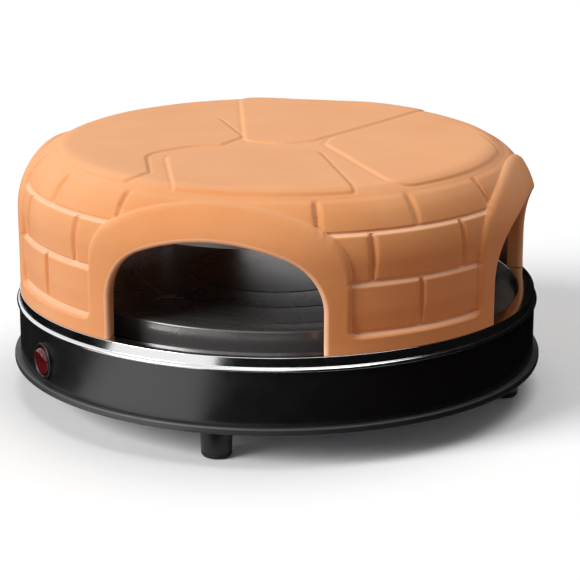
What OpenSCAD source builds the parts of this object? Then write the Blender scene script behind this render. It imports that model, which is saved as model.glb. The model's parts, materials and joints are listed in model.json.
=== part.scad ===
// Countertop pizza maker: a heated round base with a steel rim, a baking plate, an upper heater on four
// bent legs, and a loose terracotta dome with four arched mouths.
// Millimetres. +Z is up, the floor is z = 0 and the middle of the object is x = y = 0.
// The front mouth faces -Y. Angles round the object (az) count from -Y towards +X.

/* [Base] */
// Outer radius of the side wall
base_r = 178; // [172:1:190]
// Height of the side wall's lower edge over the floor
foot_h = 22; // [16:1:30]
// Height of the side wall
wall_h = 40.5; // [39:0.5:50]
// Thickness of the side wall
wall_t = 2; // [1.5:0.1:3]
// How far the lower lip stands out of the wall
lip_out = 4.2; // [2:0.1:6]
// Height of the lower lip
lip_h = 5; // [4:0.5:8]
// Thickness of the bottom plate
bottom_t = 1.2; // [0.8:0.1:2]
// How far the bottom plate is set up inside the lip
bottom_rise = 1; // [0.5:0.1:2]
// Radius of a foot at its top
foot_r = 10.5; // [8:0.5:13]
// How far the feet are set in from the side wall
foot_inset = 18; // [15:1:28]
// Height of a foot's rubber tip
tip_h = 4; // [3.5:0.5:6]

/* [Rim and tray] */
// Height of the steel rim over the side wall
rim_h = 9.3; // [8:0.1:14]
// Sheet thickness of the steel rim
rim_t = 1.2; // [0.8:0.1:1.6]
// Radius of the rim's rolled bead
bead_r = 1.3; // [1:0.1:2]
// Sheet thickness of the reflector tray
tray_t = 1; // [0.6:0.1:1.5]
// Depth of the reflector tray
tray_depth = 12.5; // [10:0.5:14]

/* [Baking plate] */
// Height of the plate's turned-down edge
plate_h = 15; // [12:0.5:20]
// Thickness of the plate
plate_t = 2.5; // [2:0.1:4]
// Width of the raised border on top of the plate
plate_border = 8.5; // [5:0.5:12]
// Depth of the baking surface below that border
plate_step = 1.5; // [1:0.1:2]
// Gap between the tray's flange and the plate's edge
plate_air = 2.5; // [1.5:0.1:6]
// How far the plate can be lifted under the upper heater
plate_travel = 34; // [20:1:34]

/* [Heating elements] */
// Radius of the heating rods
rod_r = 3.3; // [3:0.1:4]
// How far the lower rod's ring is set in from the plate's edge
lower_ring_inset = 51.5; // [46:0.5:58]
// Ring radius of the upper rod
upper_ring_r = 95; // [88:1:108]
// Gap in each ring between the rod's two ends, in degrees
ring_gap = 20; // [18:1:24]
// Height of the cooking space, from the plate's border to the upper reflector
chamber_h = 54; // [53:1:56]
// Sheet thickness of the upper reflector
reflector_t = 0.8; // [0.6:0.1:1.2]
// How far the upper reflector's edge is turned down
reflector_edge = 3.5; // [2:0.5:5]
// Radius of the legs that carry the upper heater
leg_r = 3.7; // [3.5:0.1:4.5]
// Length of the pins that plug into the sockets
pin_len = 12; // [10:0.5:13]
// How far the upper heater lifts to come free of its sockets
heater_travel = 14; // [13.5:0.1:15]

/* [Dome] */
// Height of the dome
dome_h = 100; // [96:0.5:101]
// Height of the dome's upright wall, up to its shoulder
dome_wall_h = 57; // [56:0.5:60]
// Radius of the shoulder between wall and top
shoulder_r = 45.3; // [44:0.1:50]
// Thickness of the clay
clay_t = 9; // [8:0.5:10]
// How far the arch frames and the plinth stand out of the bricks
frame_out = 2.2; // [1:0.1:2.8]
// Width of each mouth
mouth_w = 139; // [120:1:144]
// Height of each mouth
mouth_h = 70.3; // [66:0.1:74]
// Height of the mouth's upright sides
mouth_side_h = 26; // [20:1:32]
// Corner radius of the mouth
mouth_corner_r = 38; // [34:1:40]
// Width of the frame beside the mouth
frame_side_w = 15; // [10:1:16]
// Height of the frame above the mouth
frame_top_w = 22; // [16:1:22.5]
// Height of the plinth under the bricks
plinth_h = 9.5; // [6:0.5:14]
// Height of a course of bricks
course_h = 33; // [31:0.5:34]
// Width of the joints between bricks
joint_w = 4.5; // [3:0.5:6]
// Depth of the joints between bricks and slabs
joint_depth = 1.6; // [0.8:0.1:2.4]
// How far the dome lifts
dome_travel = 120; // [100:1:160]

/* [Switch and cord gland] */
// Radius of the switch's body
switch_r = 10.6; // [10:0.1:11.5]
// Depth of the switch's body
switch_depth = 20; // [18:0.5:22]
// Height of the switch's middle above the wall's lower edge
switch_up = 20.5; // [18:0.5:23]
// Full angle through which the rocker tips, in degrees
rocker_throw = 20; // [14:1:24]
// Radius of the gland's bore for the cord
cord_bore_r = 3.75; // [3:0.05:4.25]

/* [Hidden] */

$fn = 96;
eps = 0.01;

// Clearances
move_gap = 0.3;     // between pieces that move past each other
fit_gap = 0.08;     // round a pin in its socket
hole_gap = 0.2;     // round a screw in a through hole
dome_gap = 1;       // between the dome's inside and what stands next to it

// Heights of the base
z_base = foot_h;
z_bottom = z_base + bottom_rise;
z_floor = z_bottom + bottom_t;
z_rim = z_base + wall_h;
z_dome = z_rim + rim_h + move_gap;
z_tray = z_rim - tray_depth;
z_tray_in = z_tray + tray_t;
z_flange = z_rim + tray_t;

// Directions of the mouths and feet, and of the pillars between them
mouth_az = [0, 90, 180, 270];
pillar_az = [45, 135, 225, 315];
boss_az = [22.5, 112.5, 202.5, 292.5];
switch_az = -45;
gland_az = 180;

// Side wall
ledge_w = 11.5;
ledge_t = 2;
boss_r = 4.5;
boss_h = 20;
boss_ring_r = base_r - wall_t - 6;
foot_ring_r = base_r - foot_inset;
rib_w = 4;
crease = 0.8;
pad_out = 0.8;

// Screws
screw_r = 1.6;
head_r = 3.2;
head_h = 2.2;
pilot_depth = 12;
foot_screw_r = 2;

// Bottom plate
slot_count = 24;
slot_ring_r = 70;
slot_len = 24;
slot_w = 4;

// Steel rim: its wall stands on the side wall, its land carries the dome
rim_wall_r = base_r - 0.5;
rim_in_r = base_r - ledge_w - 0.2;
rim_corner = 1.5;
tray_r = rim_wall_r - rim_t - move_gap;
tray_screw_r = (rim_in_r + rim_t + rim_wall_r - rim_t) / 2;

// Dome radii
dome_r = base_r - 3;
dome_in_r = dome_r - clay_t;
z_dome_top = z_dome + dome_h;

// Sockets and legs of the upper heater stand between the dome and the baking plate
socket_r = 6;
socket_neck_r = 5;
socket_top = z_flange + 2.7;
socket_neck = 14;
leg_ring_r = dome_in_r - dome_gap - socket_r;
leg_z0 = socket_top + move_gap;
pin_r = 1.8;
leg_bore_r = leg_r - 1.1;
bend_swell = 0.2;
bush_len = 8;

// Baking plate
plate_r = leg_ring_r - socket_r - 1.5;
plate_z0 = z_flange + plate_air;
plate_top = plate_z0 + plate_h;
plate_face = plate_top - plate_step;
plate_under = plate_face - plate_t;
plate_corner = 1.5;
rest_ring_r = plate_r - 26.5;
groove_r = [plate_r - 21.5, plate_r - 56.5, plate_r - 91.5];
rest_r = 5;
rest_foot_r = 7;
rest_foot_h = 4;
cup_depth = 3;
cup_wall = 2;
cup_gap = 0.6;
dish_r = plate_r - 1.5;
dish_slope = 10;

// Elements and reflector
rod_gap = 3.7;
rod_clear = 5.2;
lower_ring_r = plate_r - lower_ring_inset;
lower_z = plate_under - rod_gap - rod_r;
reflector_z = plate_top + chamber_h;
upper_z = reflector_z - rod_clear - rod_r;
reflector_r = plate_r - 7.5;
leg_end_r = reflector_r - 6;
leg_bend_z = reflector_z - 21;
leg_end_z = reflector_z - 6;
stud_r = 2;
nut_r = 4.2;
nut_h = 3;
leg_stud_r = 3;
leg_stud_bore_r = 2.2;
leg_stud_h = 6;
leg_nut_r = 5.2;
bead_neck_r = 4.6;
bead_flange_r = 6.5;
bead_flange_h = 3.5;
terminal_r = 1.5;
rod_leg_down = 10;
rod_leg_up = 3;
terminal_len = 4;
clip_wall = 1.1;
clip_bore = 0.15;
clip_w = 8;
clip_foot = 12;
clip_az = [45, 135, 225, 315];

// Heat shield and thermostat under the tray
shield_r = 85;
shield_hole_r = 28;
shield_t = 0.8;
spacer_h = 6;
spacer_r = 4;
spacer_ring_r = 60;
spacer_az = [30, 150, 270];
stat_r = 8;
stat_h = 6.5;
bracket_t = 1;
bracket_len = 40;
bracket_w = 12;
stat_screw_x = 15;
z_bracket = z_tray - bracket_t;
z_stat = z_bracket - stat_h;
tab_t = 0.8;
tab_w = 4;
tab_len = 6;

// Wiring on the bottom plate
wire_r = 1.3;
wire_bend = 4;
lead_bend = 2.5;
bend_lap = 0.4;
corner_swell = 0.2;
corner_skip = 0.5;
wire_z = z_floor + 6;
block_size = [34, 16, 13];
wire_ring_r = base_r - 53;
block_y = wire_ring_r;
pole_x = 11;
fuse_at = [40, 56, wire_z];
fuse_len = 12;
fuse_r = 2.2;
earth_y = wire_ring_r + 22;
earth_h = 9;
tag_r = 4;
tag_t = 1;
tag_tongue = 4;

// Switch and gland
z_switch = z_base + switch_up;
bezel_r = switch_r + 1.4;
bezel_h = 2;
bezel_bore_r = switch_r - 0.7;
rocker_r = bezel_bore_r - move_gap;
pivot_in = 2;
pivot_r = 1.2;
rocker_back = 4;
rocker_face = 4;
blade_x = 5;
switch_face_r = base_r + pad_out;
switch_back_r = switch_face_r - switch_depth;
blade_tip_r = switch_back_r - 9;
gland_r = 6.2;
gland_flange_r = 9;
gland_flange_h = 2.6;
gland_len = 14;
gland_nut_h = 4;

// Brick relief: joints of a course in degrees from a mouth's middle, and the heights of the bed joints
brick_angle = 22.5;
bed_z = [plinth_h + joint_w / 2, plinth_h + course_h + joint_w / 4, plinth_h + 2 * course_h];
slab_r = 151;
slab_edge_w = 6;
slab_corner = 12;
// Slabs of the top, by the middles of their rounded corners
front_slab = [[-44, -72], [-33, -57], [-6, -48], [27, -41], [68, -130], [-16, -150]];
back_slab = [[-10, -1], [4, -3], [16, 6], [68, 128], [-46, 125]];
right_slab = [[48, -6], [48, 12], [76, 72], [122, 42], [142, 0], [142, -60], [104, -92]];
left_slab = [[-37, -2], [-64, 46], [-98, 44], [-136, -30], [-100, -104], [-70, -124]];
front_gap = 14;

// ---------------------------------------------------------------- helpers

module place(az, r, z) {
    rotate([0, 0, az]) translate([0, -r, z]) children();
}

// Turns a piece built along +Z so that it points outwards at az
module outwards() {
    rotate([90, 0, 0]) children();
}

function at(az, r, x, z) = [x * cos(az) + r * sin(az), x * sin(az) - r * cos(az), z];

function unit(v) = v / norm(v);

// How much of a straight stretch the bend at point i takes up
function bend_cut(points, i, bend) = i < 1 || i > len(points) - 2 ? 0
    : bend * tan(acos(unit(points[i] - points[i - 1]) * unit(points[i + 1] - points[i])) / 2);

// A wire through the points. Its straight stretches end inside round bends that are a little thicker
module wire_run(points, r = wire_r, bend = wire_bend) {
    for (i = [0 : len(points) - 2]) {
        d = points[i + 1] - points[i];
        cut = bend_cut(points, i, bend) - (i > 0 ? bend_lap : 0);
        cut_b = bend_cut(points, i + 1, bend) - (i < len(points) - 2 ? bend_lap : 0);
        translate(points[i] + unit(d) * cut) rotate([0, acos(d[2] / norm(d)), atan2(d[1], d[0])])
            cylinder(r = r, h = norm(d) - cut - cut_b);
    }
    for (i = [1 : len(points) - 2]) {
        u = unit(points[i] - points[i - 1]);
        v = unit(points[i + 1] - points[i]);
        n = unit(cross(u, v));
        w = cross(n, u);
        c = points[i] - u * bend_cut(points, i, bend) + w * bend;
        multmatrix([[-w[0], u[0], n[0], c[0]], [-w[1], u[1], n[1], c[1]], [-w[2], u[2], n[2], c[2]], [0, 0, 0, 1]])
            rotate_extrude(angle = acos(u * v)) translate([bend, 0]) circle(r = r + corner_swell);
    }
}

// A ring tag for a stud, its tongue along +X
module ring_tag() {
    difference() {
        union() {
            cylinder(r = tag_r, h = tag_t);
            translate([0, -tag_r / 2, 0]) cube([tag_r + tag_tongue, tag_r, tag_t]);
        }
        translate([0, 0, -1]) cylinder(r = stud_r, h = tag_t + 2);
    }
}

// A screw that points up, its head below z = 0
module screw(r, length) {
    translate([0, 0, -head_h]) cylinder(r = head_r, h = head_h);
    cylinder(r = r, h = length);
}

// A tube wall as a 2D profile, from r0 to r1 and z0 to z1
module band(r0, r1, z0, z1) {
    translate([r0, z0]) square([r1 - r0, z1 - z0]);
}

// ---------------------------------------------------------------- base

module lip_profile() {
    round_r = 1.5;
    w = lip_out + wall_t;
    translate([base_r - wall_t, z_base]) {
        square([w - round_r, lip_h]);
        translate([0, round_r]) square([w, lip_h - 2 * round_r]);
        translate([w - round_r, round_r]) circle(r = round_r);
        translate([w - round_r, lip_h - round_r]) circle(r = round_r);
    }
}

module wall_pad(az, z, r) {
    place(az, base_r - wall_t, z) outwards() cylinder(r = r, h = wall_t + pad_out);
}

module wall_hole(az, z, r) {
    place(az, base_r - 2 * wall_t, z) outwards() cylinder(r = r, h = 4 * wall_t);
}

module base_wall() {
    color("#1c1c1d") difference() {
        union() {
            rotate_extrude() {
                band(base_r - wall_t, base_r, z_base, z_rim);
                band(base_r - ledge_w, base_r, z_rim - ledge_t, z_rim);
                lip_profile();
            }
            for (az = boss_az) place(az, boss_ring_r, z_floor) {
                cylinder(r = boss_r, h = boss_h);
                translate([-rib_w / 2, boss_ring_r - base_r + wall_t / 2, 0])
                    cube([rib_w, base_r - boss_ring_r - wall_t / 2, boss_h]);
            }
            wall_pad(switch_az, z_switch, bezel_r);
            wall_pad(gland_az, z_switch, gland_flange_r);
        }
        rotate_extrude() band(base_r - crease, base_r + 1, z_base + lip_h, z_base + lip_h + crease);
        wall_hole(switch_az, z_switch, switch_r + 0.1);
        wall_hole(gland_az, z_switch, gland_r + 0.1);
        for (az = boss_az) {
            place(az, boss_ring_r, z_floor - eps) cylinder(r = screw_r, h = pilot_depth);
            place(az, tray_screw_r, z_rim - ledge_t - 1) cylinder(r = screw_r, h = ledge_t + 2);
        }
    }
}

module bottom_plate() {
    color("#8d9092") difference() {
        translate([0, 0, z_bottom]) cylinder(r = base_r - wall_t - move_gap, h = bottom_t);
        for (az = mouth_az) place(az, foot_ring_r, z_bottom - 1)
            cylinder(r = foot_screw_r + hole_gap, h = bottom_t + 2);
        for (az = boss_az) place(az, boss_ring_r, z_bottom - 1)
            cylinder(r = screw_r + hole_gap, h = bottom_t + 2);
        for (i = [0 : slot_count - 1]) place(i * 360 / slot_count, slot_ring_r, z_bottom - 1)
            translate([-slot_w / 2, -slot_len, 0]) cube([slot_w, slot_len, bottom_t + 2]);
        place(gland_az, earth_y, z_bottom - 1) cylinder(r = stud_r, h = bottom_t + 2);
    }
}

module base_screws() {
    color("silver") for (az = boss_az) place(az, boss_ring_r, z_bottom) screw(screw_r, bottom_t + pilot_depth - 1);
}

module foot(az) {
    color("#18181a") place(az, foot_ring_r, 0) difference() {
        translate([0, 0, tip_h]) cylinder(r1 = foot_r - 0.6, r2 = foot_r, h = z_bottom - tip_h);
        translate([0, 0, z_bottom - pilot_depth]) cylinder(r = foot_screw_r, h = pilot_depth + 1);
    }
}

// Rubber tips, rounded where they meet the floor
module foot_tips() {
    round_r = 3;
    tip_r = foot_r - 0.6;
    color("#101011") for (az = mouth_az) place(az, foot_ring_r, 0) rotate_extrude() {
        square([tip_r - round_r, tip_h]);
        translate([0, round_r]) square([tip_r, tip_h - round_r]);
        intersection() {
            translate([tip_r - round_r, round_r]) circle(r = round_r);
            square([tip_r, round_r]);
        }
    }
}

module foot_screws() {
    color("silver") for (az = mouth_az) place(az, foot_ring_r, z_floor) mirror([0, 0, 1])
        screw(foot_screw_r, bottom_t + pilot_depth - 1);
}

// ---------------------------------------------------------------- rim and tray

// Open below: an outer wall with a rolled bead, a flat land, and an inner wall down to the tray's flange
module rim_ring() {
    z_top = z_rim + rim_h;
    color("#d9dbdd") rotate_extrude() difference() {
        union() {
            band(rim_in_r, rim_wall_r - rim_corner, z_rim, z_top);
            band(rim_in_r, rim_wall_r, z_rim, z_top - rim_corner);
            translate([rim_wall_r - rim_corner, z_top - rim_corner]) circle(r = rim_corner);
            translate([rim_wall_r + bead_r - 0.1, z_rim + bead_r]) circle(r = bead_r);
        }
        band(rim_in_r + rim_t, rim_wall_r - rim_t, z_rim - 1, z_top - rim_t);
        band(rim_in_r - 1, rim_wall_r - rim_t, z_rim - 1, z_flange);
    }
}

module reflector_tray() {
    in = tray_t / 2;
    color("#a9acae") difference() {
        rotate_extrude() polygon([
            [0, z_tray], [dish_r - dish_slope, z_tray], [dish_r, z_rim], [tray_r, z_rim],
            [tray_r, z_flange], [dish_r - in, z_flange], [dish_r - dish_slope - in, z_tray_in], [0, z_tray_in]
        ]);
        for (az = pillar_az) place(az, leg_ring_r, z_rim - 1) cylinder(r = socket_neck_r + 0.1, h = tray_t + 2);
        for (az = boss_az) place(az, tray_screw_r, z_rim - 1) cylinder(r = screw_r + hole_gap, h = tray_t + 2);
        for (side = [-1, 1]) translate(ring_end(lower_ring_r, side, z_tray - 1))
            cylinder(r = bead_neck_r, h = tray_t + 2);
        for (az = spacer_az) place(az, spacer_ring_r, z_tray - 1) cylinder(r = screw_r, h = tray_t + 2);
        for (x = [-stat_screw_x, stat_screw_x]) translate([x, 0, z_tray - 1]) cylinder(r = screw_r, h = tray_t + 2);
    }
}

module tray_screws() {
    color("silver") for (az = boss_az) place(az, tray_screw_r, z_flange) mirror([0, 0, 1])
        screw(screw_r, tray_t + ledge_t + 2);
}

// Bent tabs on the tray's flange that keep the dome in the middle
module dome_guides() {
    guide_w = 12;
    guide_t = 1;
    guide_up = 20;
    guide_foot = 8;
    guide_r = dome_in_r - 0.5;
    color("#b9bcbe") for (az = pillar_az) place(az + 12, 0, z_flange) {
        translate([-guide_w / 2, -guide_r, 0]) cube([guide_w, guide_t, guide_up]);
        translate([-guide_w / 2, -guide_r, 0]) cube([guide_w, guide_foot, guide_t]);
    }
}

module plate_rests() {
    color("ivory") for (az = mouth_az) place(az, rest_ring_r, z_tray_in) {
        cylinder(r = rest_foot_r, h = rest_foot_h);
        cylinder(r = rest_r, h = plate_under - move_gap - z_tray_in);
    }
}

// ---------------------------------------------------------------- heating elements

// End of a heating ring: the gap between its ends is at the back
function ring_end(ring_r, side, z) = [side * ring_r * sin(ring_gap / 2), ring_r * cos(ring_gap / 2), z];

// A rod bent into a ring, its two ends turned towards the terminals (way 1 up, -1 down)
module heating_rod(ring_r, z, way, leg) {
    skip = corner_skip * 180 / (PI * ring_r);
    translate([0, 0, z]) rotate([0, 0, 90 + ring_gap / 2 + skip])
        rotate_extrude(angle = 360 - ring_gap - 2 * skip) translate([ring_r, 0]) circle(r = rod_r);
    for (side = [-1, 1]) translate(ring_end(ring_r, side, z)) {
        sphere(r = rod_r + corner_swell);
        mirror([0, 0, way < 0 ? 1 : 0]) {
            translate([0, 0, corner_skip]) cylinder(r = rod_r, h = leg - corner_skip);
            translate([0, 0, leg - eps]) cylinder(r = terminal_r, h = terminal_len + eps);
        }
    }
}

// A clip round the rod, its foot on a sheet at the distance reach below it (way -1) or above it (way 1)
module rod_clip(reach, way) {
    r_out = rod_r + clip_bore + clip_wall;
    rotate([0, 90, 0]) difference() {
        cylinder(r = r_out, h = clip_w, center = true);
        cylinder(r = rod_r + clip_bore, h = clip_w + 1, center = true);
    }
    mirror([0, 0, way < 0 ? 1 : 0]) {
        translate([-clip_w / 2, -clip_wall / 2, r_out - clip_wall / 2])
            cube([clip_w, clip_wall, reach - r_out + clip_wall / 2]);
        translate([-clip_w / 2, -clip_foot / 2, reach - clip_wall]) cube([clip_w, clip_foot, clip_wall]);
    }
}

// Ceramic bead in a sheet's hole: a flange on the side of the terminals and a neck through the hole
module rod_bead(sheet_t, way) {
    mirror([0, 0, way < 0 ? 1 : 0]) difference() {
        union() {
            cylinder(r = bead_flange_r, h = bead_flange_h);
            translate([0, 0, -sheet_t - 1.5]) cylinder(r = bead_neck_r, h = sheet_t + 1.5);
        }
        translate([0, 0, -sheet_t - 2]) cylinder(r = rod_r, h = sheet_t + 2 + bead_flange_h + 1);
    }
}

module lower_element() {
    color("#4a4641") heating_rod(lower_ring_r, lower_z, -1, lower_z - z_tray + rod_leg_down);
}

module lower_clips() {
    color("silver") for (az = clip_az) place(az, lower_ring_r, lower_z) rod_clip(lower_z - z_tray_in, -1);
}

module lower_beads() {
    color("ivory") for (side = [-1, 1]) translate(ring_end(lower_ring_r, side, z_tray)) rod_bead(tray_t, -1);
}

// Ceramic sockets for the upper heater's pins, set in the tray's flange
// The front pair ends above the switch's body
function socket_z0(az) =
    cos(az) > 0 ? max(z_rim - socket_neck, z_switch + switch_r + 0.5) : z_rim - socket_neck;
function pin_z0(az) = max(leg_z0 - pin_len, socket_z0(az) + 1.5);

module heater_sockets() {
    color("ivory") for (az = pillar_az) place(az, leg_ring_r, 0) difference() {
        union() {
            translate([0, 0, z_flange]) cylinder(r = socket_r, h = socket_top - z_flange);
            translate([0, 0, socket_z0(az)]) cylinder(r = socket_neck_r, h = z_flange - socket_z0(az));
        }
        translate([0, 0, pin_z0(az) - 0.5]) cylinder(r = pin_r + fit_gap, h = leg_z0 - pin_z0(az) + 1);
    }
}

module socket_nuts() {
    color("silver") for (az = pillar_az) place(az, leg_ring_r, z_rim - 3) difference() {
        cylinder(r = socket_neck_r + 2, h = 3, $fn = 6);
        translate([0, 0, -1]) cylinder(r = socket_neck_r, h = 5);
    }
}

// Tabs under the two back sockets, which feed the upper rod
module socket_tabs() {
    color("goldenrod") for (side = [-1, 1]) place(side * 135, leg_ring_r, z_rim - socket_neck - tab_len)
        translate([-tab_w / 2, -tab_t / 2, 0]) cube([tab_w, tab_t, tab_len]);
}

module baking_plate() {
    color("#2b2a2b") difference() {
        union() {
            rotate_extrude() {
                polygon([
                    [0, plate_under], [plate_r - plate_t, plate_under], [plate_r - plate_t, plate_z0],
                    [plate_r, plate_z0], [plate_r, plate_top - plate_corner],
                    [plate_r - plate_corner, plate_top], [plate_r - plate_border, plate_top],
                    [plate_r - plate_border - 2, plate_face], [0, plate_face]
                ]);
                translate([plate_r - plate_corner, plate_top - plate_corner]) circle(r = plate_corner);
            }
            for (az = mouth_az) place(az, rest_ring_r, plate_under - cup_depth)
                cylinder(r = rest_r + cup_gap + cup_wall, h = cup_depth);
        }
        for (az = mouth_az) place(az, rest_ring_r, plate_under - cup_depth - 1)
            cylinder(r = rest_r + cup_gap, h = cup_depth + 1);
        for (r = groove_r) translate([0, 0, plate_face - 0.5]) difference() {
            cylinder(r = r + 0.8, h = 1);
            translate([0, 0, -1]) cylinder(r = r - 0.8, h = 3);
        }
    }
}

module upper_reflector() {
    color("#c9cccd") difference() {
        rotate_extrude() {
            band(0, reflector_r, reflector_z, reflector_z + reflector_t);
            band(reflector_r - reflector_t, reflector_r, reflector_z - reflector_edge, reflector_z + reflector_t);
        }
        for (az = pillar_az) place(az, leg_end_r, reflector_z - 1)
            cylinder(r = leg_stud_r + hole_gap, h = reflector_t + 2);
        for (side = [-1, 1]) translate(ring_end(upper_ring_r, side, reflector_z - 1))
            cylinder(r = bead_neck_r, h = reflector_t + 2);
    }
}

module upper_element() {
    color("#4a4641") heating_rod(upper_ring_r, upper_z, 1, reflector_z - upper_z + rod_leg_up);
}

module upper_clips() {
    color("silver") for (az = clip_az) place(az, upper_ring_r, upper_z) rod_clip(reflector_z - upper_z, 1);
}

module upper_beads() {
    color("ivory") for (side = [-1, 1])
        translate(ring_end(upper_ring_r, side, reflector_z + reflector_t)) rod_bead(reflector_t, 1);
}

// Slanted part of a leg, from its upper bend to the point under the reflector where it turns upright again
module leg_slant(r, before) {
    run = leg_ring_r - leg_end_r;
    rise = leg_end_z - leg_bend_z;
    translate([0, 0, leg_bend_z]) rotate([-atan2(run, rise), 0, 0]) translate([0, 0, -before])
        cylinder(r = r, h = sqrt(run * run + rise * rise) + 2 * before);
}

// A hollow leg: upright from its socket, bent inwards above the plate, with a hollow stud through the reflector
module heater_leg(az) {
    run = leg_ring_r - leg_end_r;
    bore_past = 1.5;
    color("#b4b7b9") place(az, leg_ring_r, 0) difference() {
        union() {
            translate([0, 0, leg_z0]) cylinder(r = leg_r, h = leg_bend_z - leg_z0);
            translate([0, 0, leg_bend_z]) sphere(r = leg_r + bend_swell);
            leg_slant(leg_r, 0);
            translate([0, run, leg_end_z]) {
                sphere(r = leg_r + bend_swell);
                cylinder(r = leg_r, h = reflector_z - leg_end_z);
                cylinder(r = leg_stud_r, h = reflector_z - leg_end_z + leg_stud_h);
            }
        }
        translate([0, 0, leg_z0 - 1]) cylinder(r = leg_bore_r, h = leg_bend_z - leg_z0 + 1 + bore_past);
        leg_slant(leg_bore_r - 0.4, bore_past);
        translate([0, run, leg_end_z - bore_past])
            cylinder(r = leg_stud_bore_r, h = reflector_z - leg_end_z + leg_stud_h + bore_past + 1);
    }
}

module leg_nuts() {
    color("silver") for (az = pillar_az) place(az, leg_end_r, reflector_z + reflector_t) difference() {
        cylinder(r = leg_nut_r, h = nut_h, $fn = 6);
        translate([0, 0, -1]) cylinder(r = leg_stud_r, h = nut_h + 2);
    }
}

module plug_pins() {
    color("goldenrod") for (az = pillar_az) place(az, leg_ring_r, pin_z0(az))
        cylinder(r = pin_r, h = leg_z0 - pin_z0(az) + bush_len);
}

// Ceramic bushes that hold the pins in the legs
module pin_bushes() {
    color("ivory") for (az = pillar_az) place(az, leg_ring_r, leg_z0) difference() {
        cylinder(r = leg_bore_r, h = bush_len);
        translate([0, 0, -1]) cylinder(r = pin_r, h = bush_len + 2);
    }
}

// Leads from the pins of the two back legs, up inside the legs and over the reflector to the rod's ends
module upper_leads() {
    z_end = reflector_z + rod_leg_up + terminal_len;
    z_over = max(z_end, reflector_z + leg_stud_h) + lead_bend + 0.5;
    color("white") for (side = [-1, 1]) {
        az = side * 135;
        end = ring_end(upper_ring_r, side, z_end);
        wire_run([
            at(az, leg_ring_r, 0, leg_z0 + bush_len), at(az, leg_ring_r, 0, leg_bend_z),
            at(az, leg_end_r, 0, leg_end_z), at(az, leg_end_r, 0, z_over),
            [end[0], end[1], z_over], end
        ], wire_r, lead_bend);
    }
}

// ---------------------------------------------------------------- under the tray

module heat_shield() {
    z = z_tray - spacer_h - shield_t;
    color("#b9bcbe") difference() {
        translate([0, 0, z]) cylinder(r = shield_r, h = shield_t);
        translate([0, 0, z - 1]) cylinder(r = shield_hole_r, h = shield_t + 2);
        for (az = spacer_az) place(az, spacer_ring_r, z - 1) cylinder(r = screw_r + hole_gap, h = shield_t + 2);
    }
}

module shield_spacers() {
    color("ivory") for (az = spacer_az) place(az, spacer_ring_r, z_tray - spacer_h) difference() {
        cylinder(r = spacer_r, h = spacer_h);
        translate([0, 0, -1]) cylinder(r = screw_r + hole_gap, h = spacer_h + 2);
    }
}

module shield_screws() {
    color("silver") for (az = spacer_az) place(az, spacer_ring_r, z_tray - spacer_h - shield_t)
        screw(screw_r, shield_t + spacer_h + tray_t + 2);
}

module thermostat() {
    color("#3c3a38") {
        translate([0, 0, z_stat]) cylinder(r = stat_r, h = stat_h);
        for (x = [-stat_r / 2, stat_r / 2]) translate([x - tab_w / 2, -tab_t / 2, z_stat - tab_len])
            cube([tab_w, tab_t, tab_len]);
    }
}

module thermostat_bracket() {
    color("silver") difference() {
        translate([-bracket_len / 2, -bracket_w / 2, z_bracket]) cube([bracket_len, bracket_w, bracket_t]);
        for (x = [-stat_screw_x, stat_screw_x]) translate([x, 0, z_bracket - 1])
            cylinder(r = screw_r + hole_gap, h = bracket_t + 2);
    }
}

module thermostat_screws() {
    color("silver") for (x = [-stat_screw_x, stat_screw_x]) translate([x, 0, z_bracket])
        screw(screw_r, bracket_t + tray_t + 2);
}

module thermal_fuse() {
    color("gold") translate(fuse_at - [0, fuse_len / 2, 0]) rotate([-90, 0, 0]) cylinder(r = fuse_r, h = fuse_len);
}

module terminal_block() {
    color("#e8e4da") translate([-block_size[0] / 2, block_y - block_size[1] / 2, z_floor]) difference() {
        cube(block_size);
        for (i = [-1, 0, 1]) translate([block_size[0] / 2 + i * pole_x, block_size[1] / 2, block_size[2] - 5])
            cylinder(r = 2, h = 6);
    }
}

module terminal_screws() {
    color("goldenrod") for (i = [-1, 0, 1]) translate([i * pole_x, block_y, z_floor + block_size[2] - 5])
        cylinder(r = 2, h = 4);
}

// Stud in the bottom plate, with the nuts that hold the earth wire's tag
module earth_stud() {
    color("silver") place(gland_az, earth_y, z_floor) {
        translate([0, 0, -bottom_t]) cylinder(r = stud_r, h = bottom_t + earth_h);
        cylinder(r = nut_r, h = nut_h, $fn = 6);
    }
}

// Wires run level, one wire length above the bottom plate, and rise to what they feed
module wire_live() {
    color("#7a3b20") wire_run([
        [-pole_x, block_y - block_size[1] / 2, wire_z], [-pole_x, block_y - block_size[1] / 2 - 4.5, wire_z],
        at(-142, wire_ring_r - 4, 0, wire_z), at(-100, wire_ring_r - 15, 0, wire_z),
        at(-62, wire_ring_r + 2, 0, wire_z), at(switch_az, blade_tip_r - 12, -blade_x, wire_z),
        at(switch_az, blade_tip_r - 12, -blade_x, z_switch), at(switch_az, blade_tip_r, -blade_x, z_switch)
    ]);
}

module wire_switched() {
    color("#3a3a3c") wire_run([
        at(switch_az, blade_tip_r, blade_x, z_switch), at(switch_az, blade_tip_r - 16, blade_x, z_switch),
        at(switch_az, blade_tip_r - 30, blade_x, wire_z), [-20, -30, wire_z], [-stat_r / 2, 0, wire_z],
        [-stat_r / 2, 0, z_stat - tab_len]
    ]);
}

module wire_element() {
    pin = ring_end(lower_ring_r, 1, z_tray - rod_leg_down - terminal_len);
    color("#c9482b") {
        wire_run([[stat_r / 2, 0, z_stat - tab_len], [stat_r / 2, 0, wire_z],
                  fuse_at - [0, fuse_len / 2 + 10, 0], fuse_at - [0, fuse_len / 2, 0]]);
        wire_run([fuse_at + [0, fuse_len / 2, 0], fuse_at + [0, fuse_len / 2 + 8, 0],
                  [pin[0], pin[1] - 8, wire_z], [pin[0], pin[1], wire_z], pin]);
    }
}

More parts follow.
